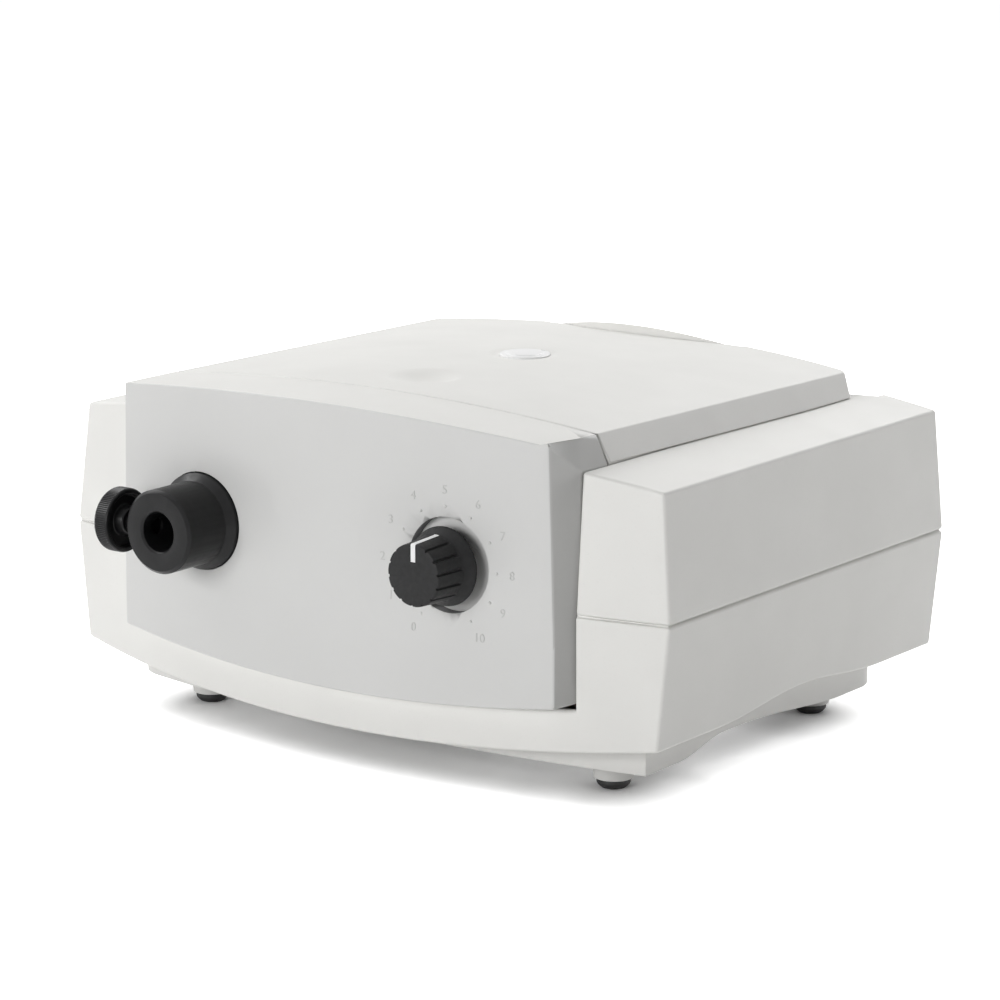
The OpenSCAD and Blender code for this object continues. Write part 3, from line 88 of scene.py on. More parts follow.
class Finish:
    """A procedural material under construction: a Principled shader and its nodes."""

    def __init__(self, name):
        self.material = bpy.data.materials.new(name)
        self.material.use_nodes = True
        self.tree = self.material.node_tree
        self.shader = self.tree.nodes["Principled BSDF"]
        self.coordinates = self.add("ShaderNodeTexCoord").outputs["Object"]
        self.normal = None

    def add(self, kind, **settings):
        node = self.tree.nodes.new(kind)
        for key, value in settings.items():
            setattr(node, key, value)
        return node

    def join(self, source, target):
        self.tree.links.new(source, target)

    def set(self, **values):
        """Uniform values, straight on the shader's sockets."""
        for key, value in values.items():
            self.shader.inputs[key.replace("_", " ")].default_value = value
        return self

    def mapped(self, centre=(0, 0, 0), turn=(0, 0, 0), scale=(1, 1, 1)):
        """Object coordinates, centred and turned for a pattern."""
        node = self.add("ShaderNodeMapping", vector_type="TEXTURE")
        node.inputs["Location"].default_value = centre
        node.inputs["Rotation"].default_value = turn
        node.inputs["Scale"].default_value = scale
        self.join(self.coordinates, node.inputs["Vector"])
        return node.outputs["Vector"]

    def noise(self, size, detail=2.0, roughness=0.5, where=None, distortion=0.0):
        """Noise whose lumps are about size metres across."""
        node = self.add("ShaderNodeTexNoise")
        node.inputs["Scale"].default_value = 1 / size
        node.inputs["Detail"].default_value = detail
        node.inputs["Roughness"].default_value = roughness
        node.inputs["Distortion"].default_value = distortion
        self.join(where or self.coordinates, node.inputs["Vector"])
        return node.outputs["Fac"]

    def spread(self, value, low, high, out_low=0.0, out_high=1.0):
        node = self.add("ShaderNodeMapRange")
        for socket, number in zip(node.inputs[1:5], (low, high, out_low, out_high)):
            socket.default_value = number
        self.join(value, node.inputs["Value"])
        return node.outputs["Result"]

    def count(self, operation, first, second):
        """A sum on values, each a number or a socket."""
        node = self.add("ShaderNodeMath", operation=operation)
        for socket, value in zip(node.inputs, (first, second)):
            if isinstance(value, bpy.types.NodeSocket):
                self.join(value, socket)
            else:
                socket.default_value = value
        return node.outputs[0]

    def cells(self, size, where=None, feature="F1", output="Distance"):
        """Scattered cells about size metres across."""
        node = self.add("ShaderNodeTexVoronoi", feature=feature)
        node.inputs["Scale"].default_value = 1 / size
        self.join(where or self.coordinates, node.inputs["Vector"])
        return node.outputs[output]

    def spokes(self, number, where):
        """A wave round the Z axis of the given place, number times."""
        node = self.add("ShaderNodeTexGradient", gradient_type="RADIAL")
        self.join(where, node.inputs["Vector"])
        return self.count("FRACT", self.count("MULTIPLY", node.outputs["Fac"], number), 0)

    def mix(self, share, first, second):
        """A colour between two others; each is a colour or a socket."""
        node = self.add("ShaderNodeMix", data_type="RGBA")
        self.join(share, node.inputs["Factor"])
        for socket, value in ((node.inputs[6], first), (node.inputs[7], second)):
            if isinstance(value, bpy.types.NodeSocket):
                self.join(value, socket)
            else:
                socket.default_value = (*value, 1)
        return node.outputs[2]

    def colour(self, value):
        if isinstance(value, bpy.types.NodeSocket):
            self.join(value, self.shader.inputs["Base Color"])
        else:
            self.shader.inputs["Base Color"].default_value = (*value, 1)
        return self

    def roughness(self, value):
        self.join(value, self.shader.inputs["Roughness"])
        return self

    def bump(self, height, depth):
        """Relief depth metres deep, added over what is there."""
        node = self.add("ShaderNodeBump")
        node.inputs["Strength"].default_value = 1
        node.inputs["Distance"].default_value = depth
        self.join(height, node.inputs["Height"])
        if self.normal:
            self.join(self.normal, node.inputs["Normal"])
        self.normal = node.outputs["Normal"]
        self.join(self.normal, self.shader.inputs["Normal"])
        return self


def shade(colour, factor):
    return tuple(min(1, c * factor) for c in colour)


def moulded(name, colour, rough=0.5, grain=0.45 * MM, depth=0.012 * MM, mottle=0.02):
    """Injection moulded plastic with the fine grain of an eroded tool."""
    f = Finish(name)
    cloud = f.spread(f.noise(35 * MM, 3), 0.3, 0.7)
    speck = f.spread(f.noise(0.8 * MM, 1), 0.62, 0.75, 0, 0.5)
    base = f.mix(cloud, shade(colour, 1 - mottle), shade(colour, 1 + mottle))
    f.colour(f.mix(speck, base, shade(colour, 1 - 2 * mottle)))
    f.roughness(f.spread(f.noise(12 * MM, 4), 0.25, 0.75, rough - 0.05, rough + 0.05))
    f.bump(f.noise(grain, 2, 0.6), depth)
    f.set(Specular_IOR_Level=0.4)
    return f.material


def scuffed(name, colour):
    """Matt knob plastic with a few short, pale scuffs."""
    f = Finish(name)
    scratch = f.noise(1.1 * MM, 2, 0.5, f.mapped((0, 0, 0), (0, 0.5, 0), (0.25, 1, 3)))
    place = f.spread(f.noise(9 * MM, 2), 0.55, 0.7)
    marks = f.count("MULTIPLY", f.spread(scratch, 0.68, 0.76), place)
    cloud = f.mix(f.spread(f.noise(2.5 * MM, 4), 0.3, 0.7),
                  shade(colour, 0.85), shade(colour, 1.2))
    f.colour(f.mix(marks, cloud, shade(colour, 3.2)))
    f.roughness(f.spread(f.noise(1.2 * MM, 3), 0.3, 0.7, 0.42, 0.58))
    f.bump(f.noise(0.3 * MM, 2), 0.012 * MM)
    f.set(Specular_IOR_Level=0.19)
    return f.material


def anodised(name, colour, axis_at, turn=(0, 0, 0), rough=0.4):
    """Turned and black anodised aluminium: fine tool rings round its axis."""
    f = Finish(name)
    rings = f.add("ShaderNodeTexWave", wave_type="RINGS", rings_direction="Z")
    rings.inputs["Scale"].default_value = 1 / (0.25 * MM) / 20
    rings.inputs["Distortion"].default_value = 0.6
    rings.inputs["Detail"].default_value = 2
    f.join(f.mapped(axis_at, turn), rings.inputs["Vector"])
    f.colour(f.mix(f.spread(f.noise(3 * MM, 4), 0.3, 0.7),
                   shade(colour, 0.88), shade(colour, 1.15)))
    f.roughness(f.spread(f.noise(1.5 * MM, 3), 0.3, 0.7, rough - 0.05, rough + 0.07))
    f.bump(rings.outputs["Fac"], 0.003 * MM)
    f.bump(f.noise(0.25 * MM, 2), 0.004 * MM)
    f.set(Specular_IOR_Level=0.2)
    return f.material


def metal(name, colour, rough=0.35, streak=(1, 1, 1), depth=0.004 * MM):
    """Rolled or plated metal; streak stretches its grain along an axis."""
    f = Finish(name)
    lines = f.noise(1.2 * MM, 4, 0.6, f.mapped(scale=streak))
    f.colour(f.mix(f.spread(f.noise(20 * MM, 3), 0.3, 0.7),
                   shade(colour, 0.9), shade(colour, 1.06)))
    f.roughness(f.spread(lines, 0.3, 0.7, rough - 0.08, rough + 0.1))
    f.bump(lines, depth)
    f.set(Metallic=1.0)
    return f.material


def rubber(name, colour):
    f = Finish(name)
    dust = f.spread(f.noise(1.5 * MM, 5, 0.7), 0.55, 0.8, 0, 0.35)
    f.colour(f.mix(dust, colour, (0.09, 0.09, 0.088)))
    f.roughness(f.spread(f.noise(2 * MM, 3), 0.3, 0.7, 0.5, 0.7))
    f.bump(f.noise(0.4 * MM, 3), 0.02 * MM)
    return f.material


def circuit_board(name):
    """Green solder mask with paler tracks and tinned pads."""
    f = Finish(name)
    tracks = f.spread(f.cells(5 * MM, feature="DISTANCE_TO_EDGE"), 0.03, 0.06, 1, 0)
    pads = f.spread(f.cells(2.54 * MM), 0.16, 0.2, 1, 0)
    green = f.mix(f.spread(f.noise(9 * MM, 2), 0.3, 0.7),
                  (0.008, 0.085, 0.035), (0.012, 0.11, 0.045))
    f.colour(f.mix(pads, f.mix(tracks, green, (0.025, 0.19, 0.07)), (0.6, 0.6, 0.56)))
    f.roughness(f.spread(pads, 0, 1, 0.3, 0.38))
    f.bump(tracks, 0.02 * MM)
    return f.material


def clear_glass(name, tint, rough=0.02):
    f = Finish(name)
    f.colour(f.mix(f.spread(f.noise(15 * MM, 2), 0.3, 0.7), tint, shade(tint, 1.03)))
    f.roughness(f.spread(f.noise(4 * MM, 3), 0.4, 0.8, rough, rough + 0.05))
    f.set(Transmission_Weight=1.0, IOR=1.46)
    return f.material


def coated_mirror(name):
    """Facetted glass with a bluish heat passing coat."""
    f = Finish(name)
    f.colour(f.mix(f.spread(f.noise(14 * MM, 1), 0.35, 0.65),
                   (0.74, 0.8, 0.9), (0.86, 0.82, 0.84)))
    f.roughness(f.spread(f.noise(6 * MM, 2), 0.3, 0.7, 0.06, 0.14))
    f.bump(f.cells(3 * MM, output="Color"), 0.05 * MM)
    f.set(Metallic=1.0)
    return f.material


def ceramic(name, colour):
    f = Finish(name)
    f.colour(f.mix(f.spread(f.noise(1.3 * MM, 4, 0.6), 0.35, 0.7), colour, shade(colour, 0.9)))
    f.roughness(f.spread(f.noise(2 * MM, 2), 0.3, 0.7, 0.6, 0.75))
    f.bump(f.noise(0.5 * MM, 3), 0.03 * MM)
    return f.material


def winding_tape(name, centre, wraps):
    """Amber tape over copper wire, darker at each lap."""
    f = Finish(name)
    lap = f.spokes(wraps, f.mapped(centre))
    amber = f.mix(f.spread(f.noise(4 * MM, 3), 0.3, 0.7), (0.5, 0.2, 0.035), (0.62, 0.29, 0.06))
    f.colour(f.mix(f.spread(lap, 0.75, 1.0, 0, 0.6), amber, (0.2, 0.07, 0.02)))
    f.roughness(f.spread(f.noise(3 * MM, 2), 0.3, 0.7, 0.22, 0.36))
    f.bump(f.noise(0.9 * MM, 2, 0.5, f.mapped(scale=(1, 1, 0.2))), 0.05 * MM)
    f.set(Coat_Weight=0.5)
    return f.material


# ---- Pieces made from the solids ----


def body_of(node):
    for body, members in frame["record"]["behaviour"]["bodies"].items():
        if node in members:
            return body
    raise KeyError(node)


def middle(node):
    low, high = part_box(node)
    return (Vector(low) + Vector(high)) / 2


def piece_of(name, form, material, node, replace=True, crease=30):
    """A finished piece from a bmesh, on the body of a node that it may replace."""
    mesh = bpy.data.meshes.new(name)
    form.to_mesh(mesh)
    form.free()
    mesh.materials.append(material)
    mesh.shade_smooth()
    mesh.set_sharp_from_angle(angle=math.radians(crease))
    piece = bpy.data.objects.new(name, mesh)
    scene.collection.objects.link(piece)
    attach(piece, body_of(node))
    if replace:
        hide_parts(node)
    return piece


def merged(node):
    """A copy of a solid's mesh with its points joined and its flats made whole."""
    form = bmesh.new()
    form.from_mesh(frame["nodes"][node].data)
    bmesh.ops.remove_doubles(form, verts=form.verts, dist=0.002 * MM)
    bmesh.ops.dissolve_degenerate(form, edges=form.edges, dist=0.002 * MM)
    bmesh.ops.dissolve_limit(form, angle_limit=math.radians(0.4), verts=form.verts,
                             edges=form.edges)
    return form


def shown_edges(form, angle, area):
    """Weight 1 on the sharp convex edges between broad faces that nothing covers."""
    clear, reach = 0.1 * MM, 50 * MM
    form.normal_update()
    tree = BVHTree.FromBMesh(form)
    weight = form.edges.layers.float.new("bevel_weight_edge")
    for edge in form.edges:
        if len(edge.link_faces) != 2 or edge.calc_face_angle_signed() < math.radians(angle):
            continue
        if min(face.calc_area() for face in edge.link_faces) < area:
            continue
        out = sum((face.normal for face in edge.link_faces), Vector()).normalized()
        middle_of = (edge.verts[0].co + edge.verts[1].co) / 2
        if tree.ray_cast(middle_of + out * clear, out, reach)[0] is None:
            edge[weight] = 1


def rounded(node, material, radius, segments=3, angle=28, reshape=None, crease=180, area=None):
    """The solid again, with its edges rounded, in place of the CAD node. With an area in
    square millimetres, only the edges that show between faces at least that large."""
    form = merged(node)
    if reshape:
        reshape(form)
    if area:
        shown_edges(form, angle, area * MM * MM)
    piece = piece_of(node + "_skin", form, material, node, crease=crease)
    if area:
        for sharp, weight in zip(piece.data.attributes["sharp_edge"].data,
                                 piece.data.attributes["bevel_weight_edge"].data):
            sharp.value = sharp.value and weight.value == 0
    edge = piece.modifiers.new("edge", "BEVEL")
    edge.width = radius
    edge.segments = segments
    edge.limit_method = "WEIGHT" if area else "ANGLE"
    edge.angle_limit = math.radians(angle)
    edge.harden_normals = not area
    edge.use_clamp_overlap = not area
    edge.miter_outer = "MITER_ARC"
    if area:
        flat = piece.modifiers.new("flat", "WEIGHTED_NORMAL")
        flat.keep_sharp = True
    return piece


def finish_where(piece, material, test):
    """Give a second finish to the faces that pass a test."""
    piece.data.materials.append(material)
    index = len(piece.data.materials) - 1
    for face in piece.data.polygons:
        if test(face):
            face.material_index = index


def paint(node, material):
    """A better material on a CAD node that keeps its shape."""
    piece = frame["nodes"][node]
    for place in piece.material_slots:
        place.material = material
    if not piece.material_slots:
        piece.data.materials.append(material)


# ---- Pieces of their own ----


def spun(profile, steps, axis):
    """Points (along, out) turned round an axis through the origin."""
    form = bmesh.new()
    out = Vector((0, 0, 1)) if axis.x or axis.y else Vector((1, 0, 0))
    line = [form.verts.new(axis * a + out * r) for a, r in profile]
    edges = [form.edges.new(pair) for pair in zip(line, line[1:])]
    bmesh.ops.spin(form, geom=line + edges, cent=(0, 0, 0), axis=axis, angle=math.tau,
                   steps=steps, use_merge=True)
    bmesh.ops.remove_doubles(form, verts=form.verts, dist=0.001 * MM)
    bmesh.ops.recalc_face_normals(form, faces=form.faces)
    return form


def thumbscrew(material):
    """Clamping screw: finely knurled head with a dished inner face, hub, stem and pin."""
    teeth = 96
    knurl = 0.24 * MM
    low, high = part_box("clamp_screw")
    length = (high[0] - low[0]) / MM
    head = 7.0
    profile = [(0, 0), (0, 10.2), (0.2, 11.0), (0.65, 11.7), (1.3, 12.1), (1.6, 12.2),
               (head - 1.0, 12.2), (head - 0.7, 12.1), (head - 0.2, 11.8), (head, 11.3),
               (head, 10.5), (head - 0.3, 10.2), (head - 1.7, 9.9), (head - 2, 9.5),
               (head - 2, 6.2), (head - 1.8, 5.9), (head + 1.1, 4.9), (head + 1.5, 4.5),
               (head + 1.5, 3.3), (head + 1.2, 3.0), (length - 2.1, 3.0), (length - 1.9, 2.8),
               (length - 1.9, 1.5), (length - 0.1, 1.5), (length, 1.4), (length, 0)]
    form = spun([(a * MM, r * MM) for a, r in profile], 2 * teeth, Vector((1, 0, 0)))
    for vert in form.verts:
        out = math.hypot(vert.co.y, vert.co.z)
        turn = round(math.atan2(vert.co.y, vert.co.z) / math.tau * 2 * teeth)
        if out > 12.15 * MM and turn % 2:
            vert.co.y *= 1 - knurl / out
            vert.co.z *= 1 - knurl / out
    centre = middle("clamp_screw")
    bmesh.ops.translate(form, verts=form.verts, vec=(low[0], centre.y, centre.z))
    return piece_of("thumbscrew", form, material, "clamp_screw", crease=24)


def fluted_knob(material):
    """Knob with crowned grip lands between round grooves, and a hollow coned skirt."""
    low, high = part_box("intensity_knob")
    centre = middle("intensity_knob")
    profile = [(0, 0), (0, 10.6), (0.06, 11.0), (0.2, 11.25), (0.5, 11.42), (1.2, 11.47),
               (3, 11.55), (6, 11.7), (9, 11.86), (11.5, 11.98), (12.3, 12.02), (12.9, 12.05),
               (13.4, 12.1), (13.8, 12.2), (14.4, 12.5), (15.4, 13.15), (16.4, 13.85),
               (17.1, 14.3), (17.5, 14.47), (17.9, 14.5), (18.3, 14.45), (18.6, 14.2),
               (18.6, 8.5), (13.6, 8.5), (13.6, 5.0), (18.6, 5.0), (18.6, 3.05), (4.0, 3.05),
               (4.0, 0)]
    form = spun([(a * MM, r * MM) for a, r in profile], 504, Vector((0, 1, 0)))
    half_groove, half_land = 2.5, 12.9  # degrees
    groove_deep, crown_high = 0.8, 0.1  # millimetres
    grooves = [360 * (i + 0.2) / 14 for i in range(1, 13)]
    for vert in form.verts:
        out = math.hypot(vert.co.x, vert.co.z) / MM
        along = vert.co.y / MM
        if out < 10.9 or along > 13.0:
            continue
        turn = math.degrees(math.atan2(vert.co.x, vert.co.z)) % 360
        off = min(abs(turn - g) for g in grooves)
        end = min(1, (13.1 - along) / 0.9)
        cut = 0.0
        if off < half_groove:
            cut = (groove_deep * math.sqrt(1 - (off / half_groove) ** 2)
                   * math.sqrt(max(0, 1 - (1 - end) ** 2)))
        crown = crown_high * (1 - min(1, off / half_land)) ** 2
        vert.co.x *= 1 - (cut + crown) / out
        vert.co.z *= 1 - (cut + crown) / out
    bmesh.ops.translate(form, verts=form.verts, vec=(centre.x, low[1], centre.z))
    return piece_of("fluted_knob", form, material, "intensity_knob", crease=40)


def knob_line(material):
    """The pointer's white line, ended where the knob's cone begins."""
    form = merged("knob_pointer")
    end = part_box("intensity_knob")[0][1] + 13.7 * MM
    whole = list(form.verts) + list(form.edges) + list(form.faces)
    cut = bmesh.ops.bisect_plane(form, geom=whole, plane_co=(0, end, 0), plane_no=(0, 1, 0),
                                 clear_outer=True)
    bmesh.ops.holes_fill(form, edges=[e for e in cut["geom_cut"]
                                      if isinstance(e, bmesh.types.BMEdge)])
    centre = middle("intensity_knob")
    for vert in form.verts:
        way = Vector((vert.co.x - centre.x, 0, vert.co.z - centre.z))
        if way.length > 10 * MM:
            vert.co += way.normalized() * 0.06 * MM
        vert.co.y -= 0.03 * MM
    return piece_of("knob_line", form, material, "knob_pointer")


def pressed(form, centre, radius, extra):
    """Press a round hollow in a top surface a little deeper."""
    for vert in form.verts:
        out = math.hypot(vert.co.x - centre.x, vert.co.y - centre.y)
        if out < radius and vert.co.z > centre.z - 2.2 * MM:
            vert.co.z -= extra * (1 - (out / radius) ** 2)


def sloping(face):
    """A face of the cover's two side slopes."""
    return 0.25 < face.normal.z < 0.93 and abs(face.normal.x) > 0.35


def cover_hollows(form):
    """The lamp cover's side slopes in one piece each, its thumb dimple and its badge's dish."""
    bmesh.ops.remove_doubles(form, verts=form.verts, dist=0.15 * MM)
    bmesh.ops.dissolve_degenerate(form, edges=form.edges, dist=0.05 * MM)
    form.normal_update()
    folds = [e for e in form.edges if len(e.link_faces) == 2 and all(map(sloping, e.link_faces))
             and e.calc_face_angle() < math.radians(20) and e.calc_length() > 15 * MM]
    bmesh.ops.dissolve_edges(form, edges=folds, use_verts=False)
    badge = middle("cover_badge")
    badge.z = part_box("cover_badge")[1][2] - 0.3 * MM
    dimple = badge + Vector((0, -63 * MM, 0.4 * MM))
    pressed(form, badge, 15.5 * MM, 0.7 * MM)
    pressed(form, dimple, 15 * MM, 1.5 * MM)


def badge_disc(material):
    """Blank white badge: a slightly raised middle inside a rounded rim."""
    low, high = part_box("cover_badge")
    centre = middle("cover_badge")
    deep = (high[2] - low[2]) / MM
    profile = [(0, 0), (0, 7.0), (-0.06, 7.25), (-0.2, 7.45), (-0.34, 7.6), (-0.38, 7.9),
               (-0.38, 9.2), (-0.46, 9.55), (-0.7, 9.82), (-1.1, 9.95), (-deep, 9.95),
               (-deep, 0)]
    form = spun([(a * MM, r * MM) for a, r in profile], 96, Vector((0, 0, 1)))
    bmesh.ops.translate(form, verts=form.verts, vec=(centre.x, centre.y, high[2]))
    return piece_of("badge_disc", form, material, "cover_badge")


def strip_gap(form):
    """Draw the top strip's rear edge back a little, for the seam in front of the cover."""
    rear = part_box("front_bezel")[1][1]
    for vert in form.verts:
        if vert.co.y > rear - 0.1 * MM:
            vert.co.y -= 0.45 * MM


def on_strip(face):
    """The panel's top strip."""
    return face.normal.z > 0.6 and face.center.z > 0.1


def on_flare(face):
    """The panel's flared sides."""
    return abs(face.normal.x) > 0.8 and abs(face.center.x) > 0.09


def in_well(face):
    """The round wall of the well behind the knob."""
    out = math.hypot(face.center.x - KNOB_AT.x, face.center.z - KNOB_AT.z)
    return 16.5 * MM < out < 17.8 * MM and abs(face.normal.y) < 0.3


def toroid_winding(wraps):
    """The transformer's ring under overlapping wraps of tape."""
    low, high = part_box("toroid_transformer")
    centre = middle("toroid_transformer")
    outer = (high[0] - low[0]) / 2
    inner = 13 * MM
    half_high = (high[2] - low[2]) / 2
    core = (outer + inner) / 2
    material = winding_tape("amber winding tape", centre, wraps)
    form = bmesh.new()
    corners = [form.verts.new(p) for p in ((inner, 0, -half_high), (outer, 0, -half_high),
                                           (outer, 0, half_high), (inner, 0, half_high))]
    section = form.faces.new(corners)
    bmesh.ops.bevel(form, geom=list(form.verts), offset=8 * MM, offset_type="OFFSET",
                    segments=7, profile=0.5, affect="VERTICES", material=-1,
                    clamp_overlap=True)
    bmesh.ops.delete(form, geom=list(form.faces), context="FACES_ONLY")
    bmesh.ops.spin(form, geom=list(form.verts) + list(form.edges), cent=(0, 0, 0),
                   axis=(0, 0, 1), angle=math.tau, steps=3 * wraps, use_merge=True)
    bmesh.ops.remove_doubles(form, verts=form.verts, dist=0.001 * MM)
    bmesh.ops.recalc_face_normals(form, faces=form.faces)
    for vert in form.verts:
        angle = math.atan2(vert.co.y, vert.co.x)
        step = round(angle / math.tau * 3 * wraps) % 3
        ring = Vector((math.cos(angle), math.sin(angle), 0)) * core
        vert.co -= (vert.co - ring).normalized() * (0.12 * MM * step)
    bmesh.ops.translate(form, verts=form.verts, vec=centre)
    return piece_of("toroid_winding", form, material, "toroid_transformer", crease=24)


def surface_of(node, seen):
    """Depth of a node's surface at a place across and up, seen along Y."""
    mesh = frame["nodes"][node].data
    form = bmesh.new()
    form.from_mesh(mesh)
    tree = BVHTree.FromBMesh(form)
    form.free()

    def depth(x, z):
        place = tree.ray_cast(Vector((x, -seen, z)), Vector((0, seen, 0)))[0]
        return place.y if place else middle(node).y

    return depth


def glyph(words, high, thin=0.0):
    """The flat mesh of a few characters, high metres tall, about its own middle."""
    curve = bpy.data.curves.new("glyph", "FONT")
    curve.body = words
    curve.offset = -thin
    curve.resolution_u = 4
    curve.extrude = 0.5
    holder = bpy.data.objects.new("glyph", curve)
    scene.collection.objects.link(holder)
    bpy.context.view_layer.update()
    mesh = bpy.data.meshes.new_from_object(holder.evaluated_get(
        bpy.context.evaluated_depsgraph_get()))
    bpy.data.objects.remove(holder)
    bpy.data.curves.remove(curve)
    form = bmesh.new()
    form.from_mesh(mesh)
    bpy.data.meshes.remove(mesh)
    bmesh.ops.remove_doubles(form, verts=form.verts, dist=0.0005)
    spans = [[pick(v.co[i] for v in form.verts) for pick in (min, max)] for i in (0, 1)]
    scale = high / (spans[1][1] - spans[1][0])
    for vert in form.verts:
        vert.co.x = (vert.co.x - sum(spans[0]) / 2) * scale
        vert.co.y = (vert.co.y - sum(spans[1]) / 2) * scale
    return form


def raise_on(form, depth, x, z, relief, seen=1):
    """Lay a flat mesh on a surface that is seen along Y, raised by relief."""
    sunk = 0.1 * MM
    for vert in form.verts:
        across, up, front = vert.co.x * seen + x, vert.co.y + z, vert.co.z > 0
        vert.co = (across, depth(across, up) - seen * (relief if front else -sunk), up)


def gather(forms):
    whole = bmesh.new()
    for form in forms:
        mesh = bpy.data.meshes.new("part")
        form.to_mesh(mesh)
        form.free()
        whole.from_mesh(mesh)
        bpy.data.meshes.remove(mesh)
    bmesh.ops.recalc_face_normals(whole, faces=whole.faces)
    return whole


DIAL_SHIFT = Vector((-0.9 * MM, 0, -0.5 * MM))  # the ring's middle, from the knob's axis


def dial_marks(printed, plain):
    """Numbers 0 to 10, each with a raised dot, moulded round the knob's well."""
    depth = surface_of("front_bezel", 1)
    centre = middle("intensity_knob") + DIAL_SHIFT
    numbers, dots = [], []
    for number in range(11):
        angle = math.radians(30 * number - 150)
        way = Vector((math.sin(angle), 0, math.cos(angle)))
        spot = centre + way * 28.0 * MM
        digits = glyph(str(number), 3.2 * MM, 0.006)
        raise_on(digits, depth, spot.x + (1 * MM if number == 10 else 0), spot.z, 0.18 * MM)
        numbers.append(digits)
        spot = centre + way * 21.8 * MM
        dot = bmesh.new()
        place = Matrix.Translation((spot.x, depth(spot.x, spot.z), spot.z))
        bmesh.ops.create_uvsphere(dot, u_segments=16, v_segments=10, radius=0.6 * MM,
                                  matrix=place @ Matrix.Diagonal((1, 0.9, 1, 1)))
        dots.append(dot)
    piece_of("dial_numbers", gather(numbers), printed, "front_bezel", replace=False)
    piece_of("dial_dots", gather(dots), plain, "front_bezel", replace=False)


def switch_marks(material):
    """The bar and ring of a mains switch, on the two halves of its rocker."""
    depth = surface_of("switch_rocker", -1)
    centre = middle("switch_rocker")
    forms = []
    for words, side in (("I", -1), ("O", 1)):
        mark = glyph(words, 3.4 * MM)
        raise_on(mark, depth, centre.x + side * 4.6 * MM, centre.z, 0.06 * MM, seen=-1)
        forms.append(mark)
    return piece_of("switch_marks", gather(forms), material, "switch_rocker", replace=False)


place_camera()

PORT_AT = middle("light_guide_port")
SCREW_AT = middle("clamp_screw")
KNOB_AT = middle("intensity_knob")
QUARTER = math.radians(90)
SHELL = moulded("housing plastic", (0.79, 0.785, 0.76))
FACE = moulded("panel plastic", (0.655, 0.655, 0.645), rough=0.45, depth=0.006 * MM,
               mottle=0.01)
# The plinth: the housing plastic made darker, painted shade for the shadow under the shell.
BASE_PAINTED_SHADE = moulded("base plastic in painted shade", (0.69, 0.685, 0.665))
# Both cover slopes: a coarser grain, and a darker tone that is painted shade.
SLOPE_GRAIN_AND_PAINTED_SHADE = moulded("cover slope plastic, coarse grain and painted shade", (0.71, 0.705, 0.685), grain=0.7 * MM, depth=0.03 * MM)
# The panel's flared sides: the panel plastic made darker, painted shade.
FLARE_PAINTED_SHADE = moulded("panel side plastic in painted shade", (0.53, 0.53, 0.52), rough=0.45)
# The wall of the knob's well: near black, painted shade in the recess.
WELL_PAINTED_SHADE = moulded("well wall in painted shade", (0.13, 0.13, 0.13), rough=0.5)
MARKS = moulded("dial marks", (0.56, 0.56, 0.55), rough=0.45)
BLACK = moulded("black plastic", (0.022, 0.022, 0.024), rough=0.45)
KNOB = scuffed("knob plastic", (0.017, 0.017, 0.0175))
WHITE = moulded("white plastic", (0.86, 0.86, 0.86), rough=0.3, depth=0.002 * MM, mottle=0.01)
PORT = anodised("black anodised port", (0.009, 0.009, 0.0095), PORT_AT, (QUARTER, 0, 0), 0.34)
SCREW = anodised("black anodised screw", (0.007, 0.007, 0.0075), SCREW_AT, (0, QUARTER, 0),
                 0.34)
STEEL = metal("zinc plated steel", (0.62, 0.62, 0.6))
SHEET = metal("aluminium sheet", (0.72, 0.73, 0.74), 0.4, (12, 1, 1))
BRASS = metal("turned brass", (0.78, 0.6, 0.3), 0.3)
RUBBER = rubber("foot rubber", (0.012, 0.012, 0.012))
BOARD = circuit_board("circuit board")
GLASS = clear_glass("lamp glass", (0.95, 0.97, 0.98))
FILTER = clear_glass("heat filter glass", (0.62, 0.86, 0.84))
MIRROR = coated_mirror("coated reflector")
CERAMIC = ceramic("lamp ceramic", (0.74, 0.7, 0.62))

MATERIAL_OF_SLOT = {
    "housing_plastic": SHELL, "panel_plastic": FACE, "badge_white": WHITE, "white_line": WHITE,
    "foot_rubber": RUBBER, "black_anodised": PORT, "brass": BRASS, "knob_black": KNOB,
    "steel": STEEL, "sheet_metal": SHEET, "black_plastic": BLACK, "circuit_board": BOARD,
    "clear_glass": GLASS, "reflector_mirror": MIRROR, "ceramic": CERAMIC,
    "copper_winding": CERAMIC,
}
for part in frame["record"]["subparts"]:
    paint(part["node"], MATERIAL_OF_SLOT[part["material_slot"]])
paint("heat_filter", FILTER)
paint("clamp_tip", SCREW)

for node in ("lower_shell", "upper_shell"):
    rounded(node, SHELL, 1.2 * MM, crease=28, area=12)
cover = rounded("top_cover", SHELL, 0.8 * MM, reshape=cover_hollows, crease=11, area=6)
# Painted shade: the cover's two side slopes get the darker, coarser finish.
finish_where(cover, SLOPE_GRAIN_AND_PAINTED_SHADE, sloping)
rounded("rear_hood", SHELL, 0.5 * MM)
# Painted shade: the whole plinth in the darker base plastic.
rounded("base_plinth", BASE_PAINTED_SHADE, 0.6 * MM)
bezel = rounded("front_bezel", FACE, 0.8 * MM, reshape=strip_gap, crease=28, area=30)
finish_where(bezel, SHELL, on_strip)
# Painted shade on the panel's flared sides.
finish_where(bezel, FLARE_PAINTED_SHADE, on_flare)
